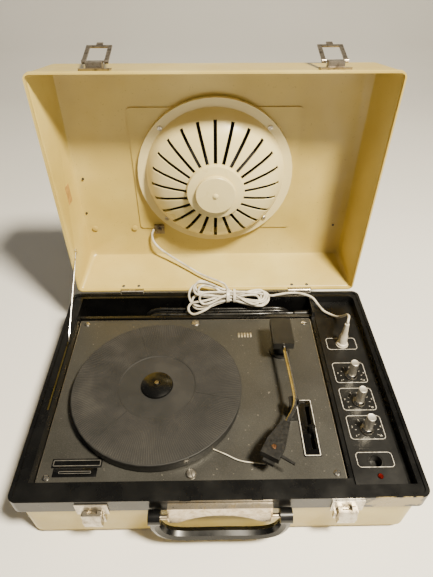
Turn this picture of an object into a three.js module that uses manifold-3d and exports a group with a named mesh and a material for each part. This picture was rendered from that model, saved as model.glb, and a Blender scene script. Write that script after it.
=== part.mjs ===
// Portable turntable record player in a two-part carrying case, as one THREE.Group of named meshes.
// Millimetres, +Z up. The case frame used below has x = 0 at the middle of the case, y = 0 at the front
// face of the rim and z = 0 on top of the rim. The whole group is moved at the end, so that its origin
// is the bottom centre of everything but the cords, with the lid open at a right angle.
import * as THREE from "three";
import { mergeVertices } from "three/addons/utils/BufferGeometryUtils.js";
import Module from "manifold-3d";

const wasm = await Module();
wasm.setup();

// ---------------------------------------------------------------- driving dimensions
const GAP = 0.3; // clearance between pieces that touch
const CASE_WIDTH = 412;
const CASE_DEPTH = 300;
const BASE_HEIGHT = 78; // rim top to the underside of the shell
const FOOT_HEIGHT = 6;
const BAND_HEIGHT = 20; // black rim band
const SHELL_WALL = 2.6;
const RIM_CORNER = 9;
const LEDGE_Z = -1.5; // ledge inside the rim lip

const LID_WIDTH = 396;
const LID_LENGTH = 298;
const LID_HEIGHT = 74;
const LID_WALL = 1.8;
const LID_BEAD = 0.8; // how far the rim bead stands out
const LID_BEAD_TOP = 6.6;
const LID_DRAFT_X = 4.7; // how far the side walls lean in
const LID_DRAFT_Y = 8.9; // how far the front and rear walls lean in
const OPEN_ANGLE = Math.PI / 2;
const HINGE_Y = CASE_DEPTH + 1.5;
const HINGE_Z = 1.6;
const LID_RIM_Z = 0.4; // lid rim above the base rim when closed
const HINGE_X = 121;
const HINGE_WIDTH = 31;

const DECK_Z = -16.2; // top of the deck plate
const DECK_THICKNESS = 1.5;
const DECK = { x0: -189.6, x1: 132.2, y0: 22, y1: 260.4 };
const PANEL_Z = -10; // top of the control panel
const PANEL = { x0: 138, x1: 191, y0: 17, y1: 255.5 };
const WELL = { x0: -190.6, x1: 133.6, y0: 266, y1: 290.8, floorY1: 284.2, z0: -58 };

const PLATTER = { x: -71.5, y: 134.5, radius: 98.5, rimInside: 96, top: -1.8 };
const MAT = { radius: 99.6, top: 1.7, thickness: 3.2, labelRadius: 45.2 };
const ADAPTOR_RADIUS = 19; // a 38 mm record centre
const SPINDLE_RADIUS = 3.4;
const IDLER = { radius: 19, angle: THREE.MathUtils.degToRad(135) };
const PULLEY = { radius: 5, angle: THREE.MathUtils.degToRad(250) };

const ARM_PIVOT = { x: 82, y: 200, z: 15 };
const ARM_HOUSING = { width: 26, front: 20, back: 24, bottom: 12, top: 22 };
const HEADSHELL_ANGLE = THREE.MathUtils.degToRad(29.5); // turned in from straight forward
const STYLUS_Z = 2.2;

const KNOB_X = 165;
const KNOB_Y = { bass: 155, treble: 116.5, volume: 80 };
const SPEAKER_SOCKET = { x: 165, y: 207 };
const AUX_SOCKET = { x: 164.5, y: 43 };
const PILOT = { x: 165, y: 26.5 };

const GRILLE = { s: 148, radius: 103, dome: 92, flange: 64, hub: 12, slots: 24 };
const LATCH_X = 125.5;
const HASP_LENGTH = 34;
const HASP_LIFT = THREE.MathUtils.degToRad(12); // how far an idle hasp stands off level
const HANDLE = { halfWidth: 64, pivotY: -8.2, pivotZ: -17, drop: 36, bar: 6.5 };
const STAY = { x: -193.2, s: 61.4, h: 16.5, radius: 0.9, footY: 207, footZ: -5 };

const SPEAKER_CORD_RADIUS = 1.6;

// ---------------------------------------------------------------- finishes
const FINISH = {
  cream: { color: 0xdcc88a, roughness: 0.42, metalness: 0 },
  black: { color: 0x121212, roughness: 0.25, metalness: 0 },
  deck: { color: 0x3e3d3a, roughness: 0.5, metalness: 0.3 },
  rubber: { color: 0x232323, roughness: 0.8, metalness: 0 },
  steel: { color: 0xb8b4ac, roughness: 0.3, metalness: 1 },
  nickel: { color: 0xc3a98a, roughness: 0.35, metalness: 1 },
  brass: { color: 0xb08d57, roughness: 0.3, metalness: 1 },
  grille: { color: 0xe2d4a4, roughness: 0.4, metalness: 0.1 },
  copper: { color: 0xb87a52, roughness: 0.3, metalness: 1 },
  board: { color: 0x7a5a30, roughness: 0.6, metalness: 0 },
  magnet: { color: 0x2c2c2e, roughness: 0.5, metalness: 0.2 },
  paper: { color: 0x1c1b1a, roughness: 0.9, metalness: 0 },
  red: { color: 0x6a0d0a, roughness: 0.15, metalness: 0 },
  white: { color: 0xd8d2c4, roughness: 0.5, metalness: 0 },
};

// ---------------------------------------------------------------- solids
function solid(geometry) {
  const bare = geometry.index ? geometry.toNonIndexed() : geometry.clone();
  bare.deleteAttribute("normal");
  bare.deleteAttribute("uv");
  const merged = mergeVertices(bare, 1e-4);
  return new wasm.Manifold(
    new wasm.Mesh({
      numProp: 3,
      vertProperties: merged.attributes.position.array,
      triVerts: new Uint32Array(merged.index.array),
    }),
  );
}

function geometryOf(manifold) {
  const mesh = manifold.getMesh();
  const geometry = new THREE.BufferGeometry();
  geometry.setAttribute("position", new THREE.BufferAttribute(mesh.vertProperties, 3));
  geometry.setIndex(new THREE.BufferAttribute(mesh.triVerts, 1));
  geometry.computeVertexNormals();
  return geometry;
}

function join(...solids) {
  return solids.reduce((whole, next) => whole.add(next));
}

function cut(whole, ...tools) {
  return tools.reduce((rest, tool) => rest.subtract(tool), whole);
}

function box(x0, x1, y0, y1, z0, z1) {
  const geometry = new THREE.BoxGeometry(Math.abs(x1 - x0), Math.abs(y1 - y0), Math.abs(z1 - z0));
  geometry.translate((x0 + x1) / 2, (y0 + y1) / 2, (z0 + z1) / 2);
  return solid(geometry);
}

// A cylinder, or a cone where the second radius differs, that stands on (x, y, z0).
function post(x, y, z0, z1, radius, topRadius = radius, sides = 24) {
  const geometry = new THREE.CylinderGeometry(topRadius, radius, z1 - z0, sides);
  geometry.rotateX(Math.PI / 2);
  geometry.translate(x, y, (z0 + z1) / 2);
  return solid(geometry);
}

// A round bar along X.
function crossBar(x0, x1, y, z, radius, sides = 16) {
  const geometry = new THREE.CylinderGeometry(radius, radius, x1 - x0, sides);
  geometry.rotateZ(Math.PI / 2);
  geometry.translate((x0 + x1) / 2, y, z);
  return solid(geometry);
}

// A profile of [radius, z] points, listed either way round, turned about a vertical axis at (x, y).
function turned(profile, x, y, segments = 48) {
  const points = profile.map(([radius, z]) => new THREE.Vector2(radius, z));
  if (THREE.ShapeUtils.isClockWise(points)) points.reverse();
  const geometry = new THREE.LatheGeometry(points, segments);
  geometry.rotateX(Math.PI / 2);
  geometry.translate(x, y, 0);
  return solid(geometry);
}

function outline(points) {
  return new THREE.Shape(points.map(([x, y]) => new THREE.Vector2(x, y)));
}

function roundedRectangle(x0, x1, y0, y1, radius) {
  const shape = new THREE.Shape();
  shape.moveTo(x0 + radius, y0);
  shape.lineTo(x1 - radius, y0);
  shape.absarc(x1 - radius, y0 + radius, radius, -Math.PI / 2, 0);
  shape.lineTo(x1, y1 - radius);
  shape.absarc(x1 - radius, y1 - radius, radius, 0, Math.PI / 2);
  shape.lineTo(x0 + radius, y1);
  shape.absarc(x0 + radius, y1 - radius, radius, Math.PI / 2, Math.PI);
  shape.lineTo(x0, y0 + radius);
  shape.absarc(x0 + radius, y0 + radius, radius, Math.PI, Math.PI * 1.5);
  return shape;
}

function plate(shape, z0, z1, curveSegments = 6) {
  const geometry = new THREE.ExtrudeGeometry(shape, { depth: z1 - z0, bevelEnabled: false, curveSegments });
  geometry.translate(0, 0, z0);
  return solid(geometry);
}

// A side profile of [y, z] points drawn out along X.
function sideways(profile, x0, x1) {
  const geometry = new THREE.ExtrudeGeometry(outline(profile), { depth: x1 - x0, bevelEnabled: false });
  geometry.rotateY(Math.PI / 2);
  geometry.rotateX(Math.PI / 2);
  geometry.translate(x0, 0, 0);
  return solid(geometry);
}

// A round tube along a smooth curve through the points.
function tube(points, radius, sides = 10, steps = 40) {
  const path = new THREE.CatmullRomCurve3(points.map((p) => new THREE.Vector3(...p)), false, "centripetal");
  const ring = [];
  for (let i = 0; i < sides; i++) {
    const angle = (i / sides) * Math.PI * 2;
    ring.push([Math.cos(angle) * radius, Math.sin(angle) * radius]);
  }
  return solid(new THREE.ExtrudeGeometry(outline(ring), { steps, extrudePath: path }));
}

// A closed skin through rounded rectangles stacked along Z, each { z, x, y0, y1, radius }, x the half width.
function stacked(levels, arcSteps = 5) {
  const rings = levels.map(({ z, x, y0, y1, radius }) => {
    const corners = [
      [x - radius, y0 + radius, -Math.PI / 2],
      [x - radius, y1 - radius, 0],
      [-x + radius, y1 - radius, Math.PI / 2],
      [-x + radius, y0 + radius, Math.PI],
    ];
    return corners.flatMap(([cx, cy, start]) =>
      Array.from({ length: arcSteps + 1 }, (_, i) => {
        const angle = start + (i / arcSteps) * (Math.PI / 2);
        return [cx + radius * Math.cos(angle), cy + radius * Math.sin(angle), z];
      }),
    );
  });
  return skinned(rings);
}

// A closed skin over rings of the same number of points, each turning the same way about the way they go.
function skinned(rings) {
  const count = rings[0].length;
  const last = rings.length - 1;
  const index = [];
  for (let level = 0; level < last; level++) {
    for (let i = 0; i < count; i++) {
      const a = level * count + i;
      const b = level * count + ((i + 1) % count);
      index.push(a, b, b + count, a, b + count, a + count);
    }
  }
  for (let i = 1; i < count - 1; i++) {
    index.push(0, i + 1, i);
    index.push(last * count, last * count + i, last * count + i + 1);
  }
  const geometry = new THREE.BufferGeometry();
  geometry.setAttribute("position", new THREE.Float32BufferAttribute(rings.flat(2), 3));
  geometry.setIndex(index);
  return solid(geometry);
}

// ---------------------------------------------------------------- scene graph
const player = new THREE.Group();
const base = new THREE.Group();
const lid = new THREE.Group(); // its own frame: hinge axis at the origin, drawn as it lies when closed
const cords = new THREE.Group();
player.add(base, cords);
base.add(lid);
lid.position.set(0, HINGE_Y, HINGE_Z);
lid.rotation.x = -OPEN_ANGLE;

function add(group, name, manifold, finish) {
  const mesh = new THREE.Mesh(geometryOf(manifold), new THREE.MeshStandardMaterial(FINISH[finish]));
  mesh.name = name;
  group.add(mesh);
  return mesh;
}

// Places in the lid: s is measured from the rear edge of its rim towards the front, h up from its rim.
const lidY = (s) => CASE_DEPTH - HINGE_Y - s;
const lidZ = (h) => LID_RIM_Z - HINGE_Z + h;

// How far a lid wall's outer face stands in from the rim's outline at height h above the bead.
function lidInset(h, draft) {
  return LID_BEAD + (draft * (h - LID_BEAD_TOP)) / (LID_HEIGHT - 7 - LID_BEAD_TOP);
}

// ---------------------------------------------------------------- case, lower half
function shellLevel(z, inset, radius) {
  const outer = 3.6; // the shell's top edge stands this far inside the rim band
  return {
    z,
    x: CASE_WIDTH / 2 - outer - inset,
    y0: outer + inset,
    y1: CASE_DEPTH - outer - inset,
    radius,
  };
}

// The hollow of the base shell, drawn in by a clearance all round and carried up past the rim.
function shellRoom(clearance) {
  return stacked([
    shellLevel(-BASE_HEIGHT + SHELL_WALL + clearance, 6 + clearance, 12),
    shellLevel(-BASE_HEIGHT + SHELL_WALL + 4 + clearance, 0.5 + SHELL_WALL + clearance, 10),
    shellLevel(-9, SHELL_WALL + clearance, 10),
    shellLevel(2, SHELL_WALL + clearance, 10),
  ]);
}

function baseShell() {
  const outer = stacked([
    shellLevel(-BASE_HEIGHT, 3.6, 14),
    shellLevel(-BASE_HEIGHT + 1, 1.6, 14),
    shellLevel(-BASE_HEIGHT + 3.6, 0.5, 13),
    shellLevel(-10, 0, 12),
  ]);
  return outer.subtract(shellRoom(0));
}
add(base, "base_shell", baseShell(), "cream");

function rimRing(inset, thickness, z0, z1) {
  const half = CASE_WIDTH / 2;
  const rectangle = (d) =>
    roundedRectangle(-half + d, half - d, d, CASE_DEPTH - d, Math.max(RIM_CORNER - d, 2.5));
  return plate(rectangle(inset), z0, z1).subtract(plate(rectangle(inset + thickness), z0 - 1, z1 + 1));
}

// Side profile of the rear well, whose rear wall leans in with the shell behind it.
function wellProfile(wall) {
  const top = wall ? -2 : 1;
  return [
    [WELL.y0 - wall, top],
    [WELL.y0 - wall, WELL.z0 - wall],
    [WELL.floorY1 + wall, WELL.z0 - wall],
    [WELL.y1 + wall, -14],
    [WELL.y1 + wall, top],
  ];
}

function deckFrame() {
  const half = CASE_WIDTH / 2;
  const ledge = plate(roundedRectangle(-half, half, 0, CASE_DEPTH, RIM_CORNER), -4, LEDGE_Z);
  const trays = join(
    box(-191.8, 135.6, 18.7, 264, -20, -2),
    box(133.6, 198.6, 12, 260, -13.8, -2),
    box(133.6, 198.6, 256, 292.4, -15, -2),
    sideways(wellProfile(2), WELL.x0 - 2, WELL.x1 + 2),
  ).intersect(shellRoom(GAP));
  const body = join(rimRing(0, 3, -BAND_HEIGHT, 0), rimRing(0, 4, -4, 0), ledge, trays);
  const wells = join(
    box(137.5, 196.6, 258, 290.4, -13, 1),
    sideways(wellProfile(0), WELL.x0, WELL.x1),
  ).intersect(shellRoom(GAP + 2));
  const hingeRoom = [-HINGE_X, HINGE_X].map((x) =>
    box(x - 17, x + 17, CASE_DEPTH - 2.6, CASE_DEPTH + 1, -2.4, 1),
  );
  const lipNotches = [-34, 36].map((x) => box(x - 5.5, x + 5.5, -1, 4.5, LEDGE_Z, 1));
  return cut(
    body,
    box(-190.6, WELL.x1, 20.5, 262, -18, 1),
    box(-172, 112, 40, 240, -21, -17),
    box(133, 196.6, 14, 258.2, -11.8, 1),
    box(145, 186, 22, 222, -21, -11),
    wells,
    box(WELL.x0, WELL.x1, 261, 267, -13, 1),
    box(-194.6, -191.9, 105, 216, -10, 1), // stay slot
    ...hingeRoom,
    ...lipNotches,
  );
}
add(base, "deck_frame", deckFrame(), "black");

for (const [name, x, y] of [
  ["foot_front_left", -165, 40],
  ["foot_front_right", 165, 40],
  ["foot_rear_left", -165, 260],
  ["foot_rear_right", 165, 260],
]) {
  const bottom = -BASE_HEIGHT - FOOT_HEIGHT;
  add(base, name, post(x, y, bottom, -BASE_HEIGHT - GAP, 9, 11, 20), "rubber");
}

// ---------------------------------------------------------------- deck plate
const LEVER = { x: 104, y: 83 };

const idler = {
  x: PLATTER.x + (PLATTER.rimInside - IDLER.radius - GAP) * Math.cos(IDLER.angle),
  y: PLATTER.y + (PLATTER.rimInside - IDLER.radius - GAP) * Math.sin(IDLER.angle),
};
const pulley = {
  x: idler.x + (IDLER.radius + PULLEY.radius + GAP) * Math.cos(PULLEY.angle),
  y: idler.y + (IDLER.radius + PULLEY.radius + GAP) * Math.sin(PULLEY.angle),
};

const deckUnder = DECK_Z - DECK_THICKNESS;
const deckPlate = cut(
  plate(roundedRectangle(DECK.x0, DECK.x1, DECK.y0, DECK.y1, 3), deckUnder, DECK_Z, 3),
  post(PLATTER.x, PLATTER.y, -20, -10, 6),
  post(idler.x, idler.y, -20, -10, 5),
  post(pulley.x, pulley.y, -20, -10, 7.5),
  box(LEVER.x - 2.2, LEVER.x + 2.2, 60, 116, -20, -10),
);
add(base, "deck_plate", deckPlate, "deck");

// ---------------------------------------------------------------- platter and its drive
const spindlePost = turned(
  [
    [0, -38],
    [5, -38],
    [5, -21],
    [15, -21],
    [15, -18 - GAP],
    [5, -18 - GAP],
    [5, -13.5],
    [SPINDLE_RADIUS, -13.5],
    [SPINDLE_RADIUS, 6],
    [2.4, 8],
    [0, 8],
  ],
  PLATTER.x,
  PLATTER.y,
  24,
);
add(base, "spindle_bearing", spindlePost, "brass");

const platter = turned(
  [
    [SPINDLE_RADIUS + 0.2, PLATTER.top],
    [SPINDLE_RADIUS + 0.2, -12],
    [9, -12],
    [9, -3.4],
    [PLATTER.rimInside, -3.4],
    [PLATTER.rimInside, -13.5],
    [PLATTER.radius, -13.5],
    [PLATTER.radius, PLATTER.top],
    [SPINDLE_RADIUS + 0.2, PLATTER.top],
  ],
  PLATTER.x,
  PLATTER.y,
  48,
);
add(base, "platter", platter, "deck");

const mat = turned(
  [
    [4, -1.5],
    [MAT.radius, -1.5],
    [MAT.radius, MAT.top - 0.6],
    [MAT.radius - 0.8, MAT.top],
    [MAT.labelRadius, MAT.top],
    [MAT.labelRadius - 0.6, MAT.top - 0.6],
    [4, MAT.top - 0.6],
    [4, -1.5],
  ],
  PLATTER.x,
  PLATTER.y,
  48,
);
add(base, "platter_mat", mat, "rubber");

const adaptor = turned(
  [
    [3.8, MAT.top - 0.6 + GAP],
    [ADAPTOR_RADIUS - 0.6, MAT.top - 0.6 + GAP],
    [ADAPTOR_RADIUS, MAT.top + 0.6],
    [ADAPTOR_RADIUS - 0.8, 4],
    [13, 6],
    [6, 7],
    [3.8, 7],
    [3.8, MAT.top - 0.6 + GAP],
  ],
  PLATTER.x,
  PLATTER.y,
  28,
);
add(base, "record_centre_adaptor", adaptor, "black");

const idlerWheel = turned(
  [
    [2.3, -12.5],
    [5, -12.5],
    [5, -11],
    [IDLER.radius, -11],
    [IDLER.radius, -7],
    [5, -7],
    [5, -6],
    [2.3, -6],
    [2.3, -12.5],
  ],
  idler.x,
  idler.y,
  28,
);
add(base, "idler_wheel", idlerWheel, "rubber");

const idlerBracket = join(
  box(idler.x - 5, idler.x + 5, idler.y - 6, idler.y + 36, -22.5, -20.8),
  post(idler.x, idler.y, -22, -5, 2, 2, 12),
  post(idler.x, idler.y + 30, -22, -18 - GAP, 4, 4, 12),
);
add(base, "idler_bracket", idlerBracket, "steel");

const motorPulley = turned(
  [
    [0, -24],
    [1.5, -24],
    [1.5, -14.2],
    [PULLEY.radius + 1.6, -14.2],
    [PULLEY.radius + 1.6, -12],
    [PULLEY.radius, -11.4],
    [PULLEY.radius, -6.6],
    [3.2, -6.4],
    [3.2, -4.6],
    [0, -4.6],
  ],
  pulley.x,
  pulley.y,
  24,
);
add(base, "motor_pulley", motorPulley, "brass");

const motor = cut(
  join(
    box(pulley.x - 24, pulley.x + 24, pulley.y - 24, pulley.y + 24, -50, -32),
    post(pulley.x, pulley.y, -56, -24.5, 15, 15, 20),
    box(pulley.x - 24, pulley.x - 14, pulley.y - 14, pulley.y + 14, -55, -27),
    post(pulley.x + 19, pulley.y + 19, -33, -18 - GAP, 3, 3, 12),
    post(pulley.x - 19, pulley.y + 19, -33, -18 - GAP, 3, 3, 12),
    post(pulley.x + 19, pulley.y - 19, -33, -18 - GAP, 3, 3, 12),
  ),
  post(pulley.x, pulley.y, -30, -20, 2.2, 2.2, 16),
);
add(base, "motor", motor, "steel");

const transformer = join(
  box(30, 84, 70, 112, -68, -38),
  box(38, 76, 60, 122, -64, -42),
  box(24, 90, 84, 98, -BASE_HEIGHT + SHELL_WALL + GAP, -66),
);
add(base, "mains_transformer", transformer, "magnet");

// ---------------------------------------------------------------- tonearm
const armPost = join(
  post(ARM_PIVOT.x, ARM_PIVOT.y, DECK_Z + GAP, -13, 13, 13, 28),
  post(ARM_PIVOT.x, ARM_PIVOT.y, -14, 6.2, 8, 7, 24),
);
add(base, "tonearm_post", armPost, "black");

const yoke = join(
  post(ARM_PIVOT.x, ARM_PIVOT.y, 6.5, 9, 9, 9, 24),
  box(ARM_PIVOT.x - 10, ARM_PIVOT.x - 8.4, ARM_PIVOT.y - 3, ARM_PIVOT.y + 3, 8, 17.5),
  box(ARM_PIVOT.x + 8.4, ARM_PIVOT.x + 10, ARM_PIVOT.y - 3, ARM_PIVOT.y + 3, 8, 17.5),
  crossBar(ARM_PIVOT.x - 9, ARM_PIVOT.x + 9, ARM_PIVOT.y, ARM_PIVOT.z, 1.2, 12),
);
add(base, "tonearm_yoke", yoke, "steel");

const housingSide = ARM_HOUSING.width / 2;
const housingFront = ARM_PIVOT.y - ARM_HOUSING.front;
const housingBack = ARM_PIVOT.y + ARM_HOUSING.back;
const housing = cut(
  join(
    cut(
      plate(
        roundedRectangle(ARM_PIVOT.x - housingSide, ARM_PIVOT.x + housingSide, housingFront, housingBack, 1.2),
        ARM_HOUSING.bottom,
        ARM_HOUSING.top,
        2,
      ),
      box(
        ARM_PIVOT.x - housingSide + 1.6,
        ARM_PIVOT.x + housingSide - 1.6,
        housingFront + 1.6,
        housingBack - 1.6,
        ARM_HOUSING.bottom - 1,
        ARM_HOUSING.top - 1.6,
      ),
    ),
    box(ARM_PIVOT.x - 5, ARM_PIVOT.x + 5, ARM_PIVOT.y - 4, ARM_PIVOT.y + 4, 12.6, ARM_HOUSING.top - 1),
    box(ARM_PIVOT.x - 10, ARM_PIVOT.x + 10, ARM_PIVOT.y + 8, housingBack - 1, 13, ARM_HOUSING.top - 1), // counterweight
  ),
  crossBar(ARM_PIVOT.x - 6, ARM_PIVOT.x + 6, ARM_PIVOT.y, ARM_PIVOT.z, 1.5, 12),
  tube(
    [
      [82.4, 190, 16],
      [82.5, 170, 15.9],
    ],
    3,
    16,
    1,
  ),
);
add(base, "tonearm_housing", housing, "black");

// The headshell's own plan: t runs forward from its neck, w across it to the arm's outer side.
const NECK = { x: 71.6, y: 73.5 };
const forward = { x: -Math.sin(HEADSHELL_ANGLE), y: -Math.cos(HEADSHELL_ANGLE) };
const onHeadshell = (t, w) => [NECK.x + forward.x * t - forward.y * w, NECK.y + forward.y * t + forward.x * w];
const armTube = tube(
  [
    [82.4, 194, 16],
    [82.5, 180, 15.9],
    [84, 150, 15.5],
    [85.4, 118, 15.1],
    [85.2, 101, 14.9],
    [81.6, 90, 14.7],
    [...onHeadshell(-8, 0), 14.5],
    [...onHeadshell(-2, 0), 14.4],
    [...onHeadshell(4, 0), 14.3],
  ],
  2.5,
  10,
  22,
);
add(base, "tonearm_tube", armTube, "steel");

const headshellPlan = [
  [-1, -4.2],
  [26, -10],
  [44, -10],
  [44, 10],
  [26, 10],
  [-1, 4.2],
].map(([t, w]) => onHeadshell(t, w));
const headshellCavity = [
  [6, -4],
  [26, -8.6],
  [42.6, -8.6],
  [42.6, 8.6],
  [26, 8.6],
  [6, 4],
].map(([t, w]) => onHeadshell(t, w));
const neckSocket = tube(
  [
    [...onHeadshell(-8, 0), 14.5],
    [...onHeadshell(5, 0), 14.25],
  ],
  2.9,
  16,
  1,
);
const fingerPlan = [
  [34, 9.5],
  [37, 9.5],
  [38.2, 25],
  [36, 25],
].map(([t, w]) => onHeadshell(t, w));
const headshell = cut(
  join(plate(outline(headshellPlan), 10.5, 18.5), plate(outline(fingerPlan), 11, 13)),
  plate(outline(headshellCavity), 9, 17),
  neckSocket,
);
add(base, "headshell", headshell, "black");

const cartridgePlan = [
  [27, -6],
  [47, -6],
  [47, 6],
  [27, 6],
].map(([t, w]) => onHeadshell(t, w));
const [stylusX, stylusY] = onHeadshell(43, 0);
const cartridge = join(
  plate(outline(cartridgePlan.slice(0, 4)), 5.5, 16.7).subtract(
    plate(outline([[42, -7], [48, -7], [48, 7], [42, 7]].map(([t, w]) => onHeadshell(t, w))), 10, 17),
  ),
  post(stylusX, stylusY, STYLUS_Z, 6, 0.4, 1.6, 10),
);
add(base, "cartridge", cartridge, "black");

// ---------------------------------------------------------------- arm rest
const REST = { x: 85.3, y: 104 };
const armRest = join(
  box(REST.x - 7, REST.x + 5.4, REST.y - 8, REST.y + 8, DECK_Z + GAP, -14),
  box(REST.x - 3.5, REST.x + 2, REST.y - 6, REST.y + 6, -15, 10.6),
  box(REST.x - 6, REST.x + 4, REST.y - 6, REST.y + 6, 9, 12),
  box(REST.x + 3.2, REST.x + 4.4, REST.y - 6, REST.y - 1, 9, 16), // hooked clip
  box(REST.x + 3.2, REST.x + 10, REST.y - 6, REST.y - 4, 15, 16.2),
);
add(base, "arm_rest", armRest, "black");

// ---------------------------------------------------------------- speed control
const speedPlate = plate(roundedRectangle(91.5, 110.6, 51.7, 124.3, 1), DECK_Z + GAP, DECK_Z + 1.1, 2).subtract(
  box(LEVER.x - 2.2, LEVER.x + 2.2, 60, 116, -20, -10),
);
add(base, "speed_plate", speedPlate, "black");

const speedLever = join(
  box(LEVER.x - 1.8, LEVER.x + 1.8, LEVER.y - 2.5, LEVER.y + 2.5, -24, -12),
  sideways(
    [
      [LEVER.y - 4, DECK_Z + 1.5],
      [LEVER.y + 4, DECK_Z + 1.5],
      [LEVER.y + 2, -6],
      [LEVER.y - 1, -6],
    ],
    LEVER.x - 3.4,
    LEVER.x + 3.4,
  ),
  box(LEVER.x - 5, LEVER.x + 5, LEVER.y - 6, LEVER.y + 6, -24, -22),
);
add(base, "speed_lever", speedLever, "black");

// ---------------------------------------------------------------- control panel
const panelUnder = PANEL_Z - 1.5;
const controlPanel = cut(
  plate(roundedRectangle(PANEL.x0, PANEL.x1, PANEL.y0, PANEL.y1, 2), panelUnder, PANEL_Z, 3),
  ...Object.values(KNOB_Y).map((y) => post(KNOB_X, y, -13, -9, 4)),
  post(SPEAKER_SOCKET.x, SPEAKER_SOCKET.y, -13, -9, 8.2),
  post(AUX_SOCKET.x, AUX_SOCKET.y, -13, -9, 8.2),
  post(PILOT.x, PILOT.y, -13, -9, 3.2),
);
add(base, "control_panel", controlPanel, "black");

for (const [name, y] of Object.entries(KNOB_Y)) {
  const knob = turned(
    [
      [3.2, -9.2],
      [7.4, -9.2],
      [7.2, -7.8],
      [5.4, -5.4],
      [4.9, -3.6],
      [4.9, 13],
      [4.3, 14],
      [0, 14],
      [0, 5],
      [3.2, 5],
      [3.2, -9.2],
    ],
    KNOB_X,
    y,
    18,
  );
  add(base, `${name}_knob`, knob, "steel");
}

const potentiometers = Object.values(KNOB_Y).flatMap((y) => [
  box(KNOB_X - 11, KNOB_X + 11, y - 11, y + 11, -35, -14.2),
  post(KNOB_X, y, -15, -9.6, 3.7, 3.7, 16),
  post(KNOB_X, y, -10, 4, 2.9, 2.9, 16),
]);
const amplifierBoard = join(
  ...potentiometers,
  box(142, 188, 24, 232, -36, -34.4),
  box(148, 168, 170, 196, -35, -27.5),
  box(172, 186, 176, 190, -35, -28),
  post(152, 36, -35, -27, 5, 5, 16),
  post(178, 60, -35, -28, 6, 6, 16),
  box(146, 152, 110, 130, -35, -28),
);
add(base, "amplifier_board", amplifierBoard, "board");

function dinSocket({ x, y }) {
  return cut(
    post(x, y, -26, PANEL_Z - 0.2, 7.9, 7.9, 28),
    post(x, y, -22, -9, 6.7, 6.7, 24),
  );
}
add(base, "speaker_socket", dinSocket(SPEAKER_SOCKET), "black");
add(base, "auxiliary_socket", dinSocket(AUX_SOCKET), "black");

const pilot = turned(
  [
    [0, -18],
    [2.9, -18],
    [2.9, -9.6],
    [2, -8.4],
    [0, -8],
  ],
  PILOT.x,
  PILOT.y,
  16,
);
add(base, "pilot_lamp", pilot, "red");

// ---------------------------------------------------------------- carrying handle
const bracket = HANDLE.halfWidth - 13;
const arch = new THREE.Shape();
arch.moveTo(-bracket, -36);
arch.lineTo(-bracket, -5);
arch.lineTo(bracket, -5);
arch.lineTo(bracket, -36);
arch.lineTo(bracket - 9, -36);
arch.absarc(0, -36 - 46, Math.hypot(bracket - 9, 46), Math.atan2(46, bracket - 9), Math.PI - Math.atan2(46, bracket - 9));
const handleFace = new THREE.ExtrudeGeometry(arch, { depth: 1.2, bevelEnabled: false, curveSegments: 20 });
handleFace.rotateX(Math.PI / 2);
handleFace.translate(0, -6.2 + 1.2, 0);
const handleBracket = cut(
  join(
    solid(handleFace),
    box(-bracket, bracket, -6.2, -GAP, -6.2, -5),
    box(-bracket, -bracket + 1.4, -6, -GAP, -36, -5),
    box(bracket - 1.4, bracket, -6, -GAP, -36, -5),
    box(-bracket, -bracket + 1.4, -11, -5, -21, -13),
    box(bracket - 1.4, bracket, -11, -5, -21, -13),
    crossBar(-HANDLE.halfWidth - 3, -bracket + 1, HANDLE.pivotY, HANDLE.pivotZ, 2.4, 16),
    crossBar(bracket - 1, HANDLE.halfWidth + 3, HANDLE.pivotY, HANDLE.pivotZ, 2.4, 16),
  ),
);
add(base, "handle_bracket", handleBracket, "nickel");

function carryingGrip() {
  const low = HANDLE.pivotZ - HANDLE.drop;
  const out = -9.5;
  const bar = tube(
    [
      [-HANDLE.halfWidth, HANDLE.pivotY, HANDLE.pivotZ - 0.5],
      [-HANDLE.halfWidth, HANDLE.pivotY - 0.4, HANDLE.pivotZ - 14],
      [-HANDLE.halfWidth + 6, out, low + 8],
      [-HANDLE.halfWidth + 18, out, low],
      [0, out, low - 1],
      [HANDLE.halfWidth - 18, out, low],
      [HANDLE.halfWidth - 6, out, low + 8],
      [HANDLE.halfWidth, HANDLE.pivotY - 0.4, HANDLE.pivotZ - 14],
      [HANDLE.halfWidth, HANDLE.pivotY, HANDLE.pivotZ - 0.5],
    ],
    HANDLE.bar,
    8,
    26,
  );
  const eyes = [-1, 1].map((side) =>
    crossBar(side * HANDLE.halfWidth - 6, side * HANDLE.halfWidth + 6, HANDLE.pivotY, HANDLE.pivotZ, 7.4, 20),
  );
  const pins = [-1, 1].map((side) =>
    crossBar(side * HANDLE.halfWidth - 12, side * HANDLE.halfWidth + 12, HANDLE.pivotY, HANDLE.pivotZ, 2.8, 16),
  );
  const clearance = box(-90, 90, -GAP - 0.4, 10, -80, 10);
  return cut(join(bar, ...eyes), ...pins, clearance);
}
add(base, "carrying_handle", carryingGrip(), "black");

// ---------------------------------------------------------------- front catches on the base
for (const [side, x] of [
  ["left", -LATCH_X],
  ["right", LATCH_X],
]) {
  const catchPlate = join(
    box(x - 16, x + 16, -1.4, -GAP, -24, -4),
    crossBar(x - 11, x + 11, -3, -33, 1.2, 12),
    box(x - 12, x - 9.6, -4.4, -GAP, -35, -22),
    box(x + 9.6, x + 12, -4.4, -GAP, -35, -22),
  );
  add(base, `catch_plate_${side}`, catchPlate, "nickel");
  const lever = cut(
    sideways(
      [
        [-1.8, -34],
        [-1.8, -16],
        [-7, -16],
        [-10.5, -24],
        [-9, -35.5],
        [-4, -36],
      ],
      x - 9,
      x + 9,
    ),
    crossBar(x - 10, x + 10, -3, -33, 1.5, 12),
    box(x - 5, x + 5, -4.8, -1, -22, -15), // room for the hasp's tab
  );
  add(base, `catch_lever_${side}`, lever, "nickel");
}

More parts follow.
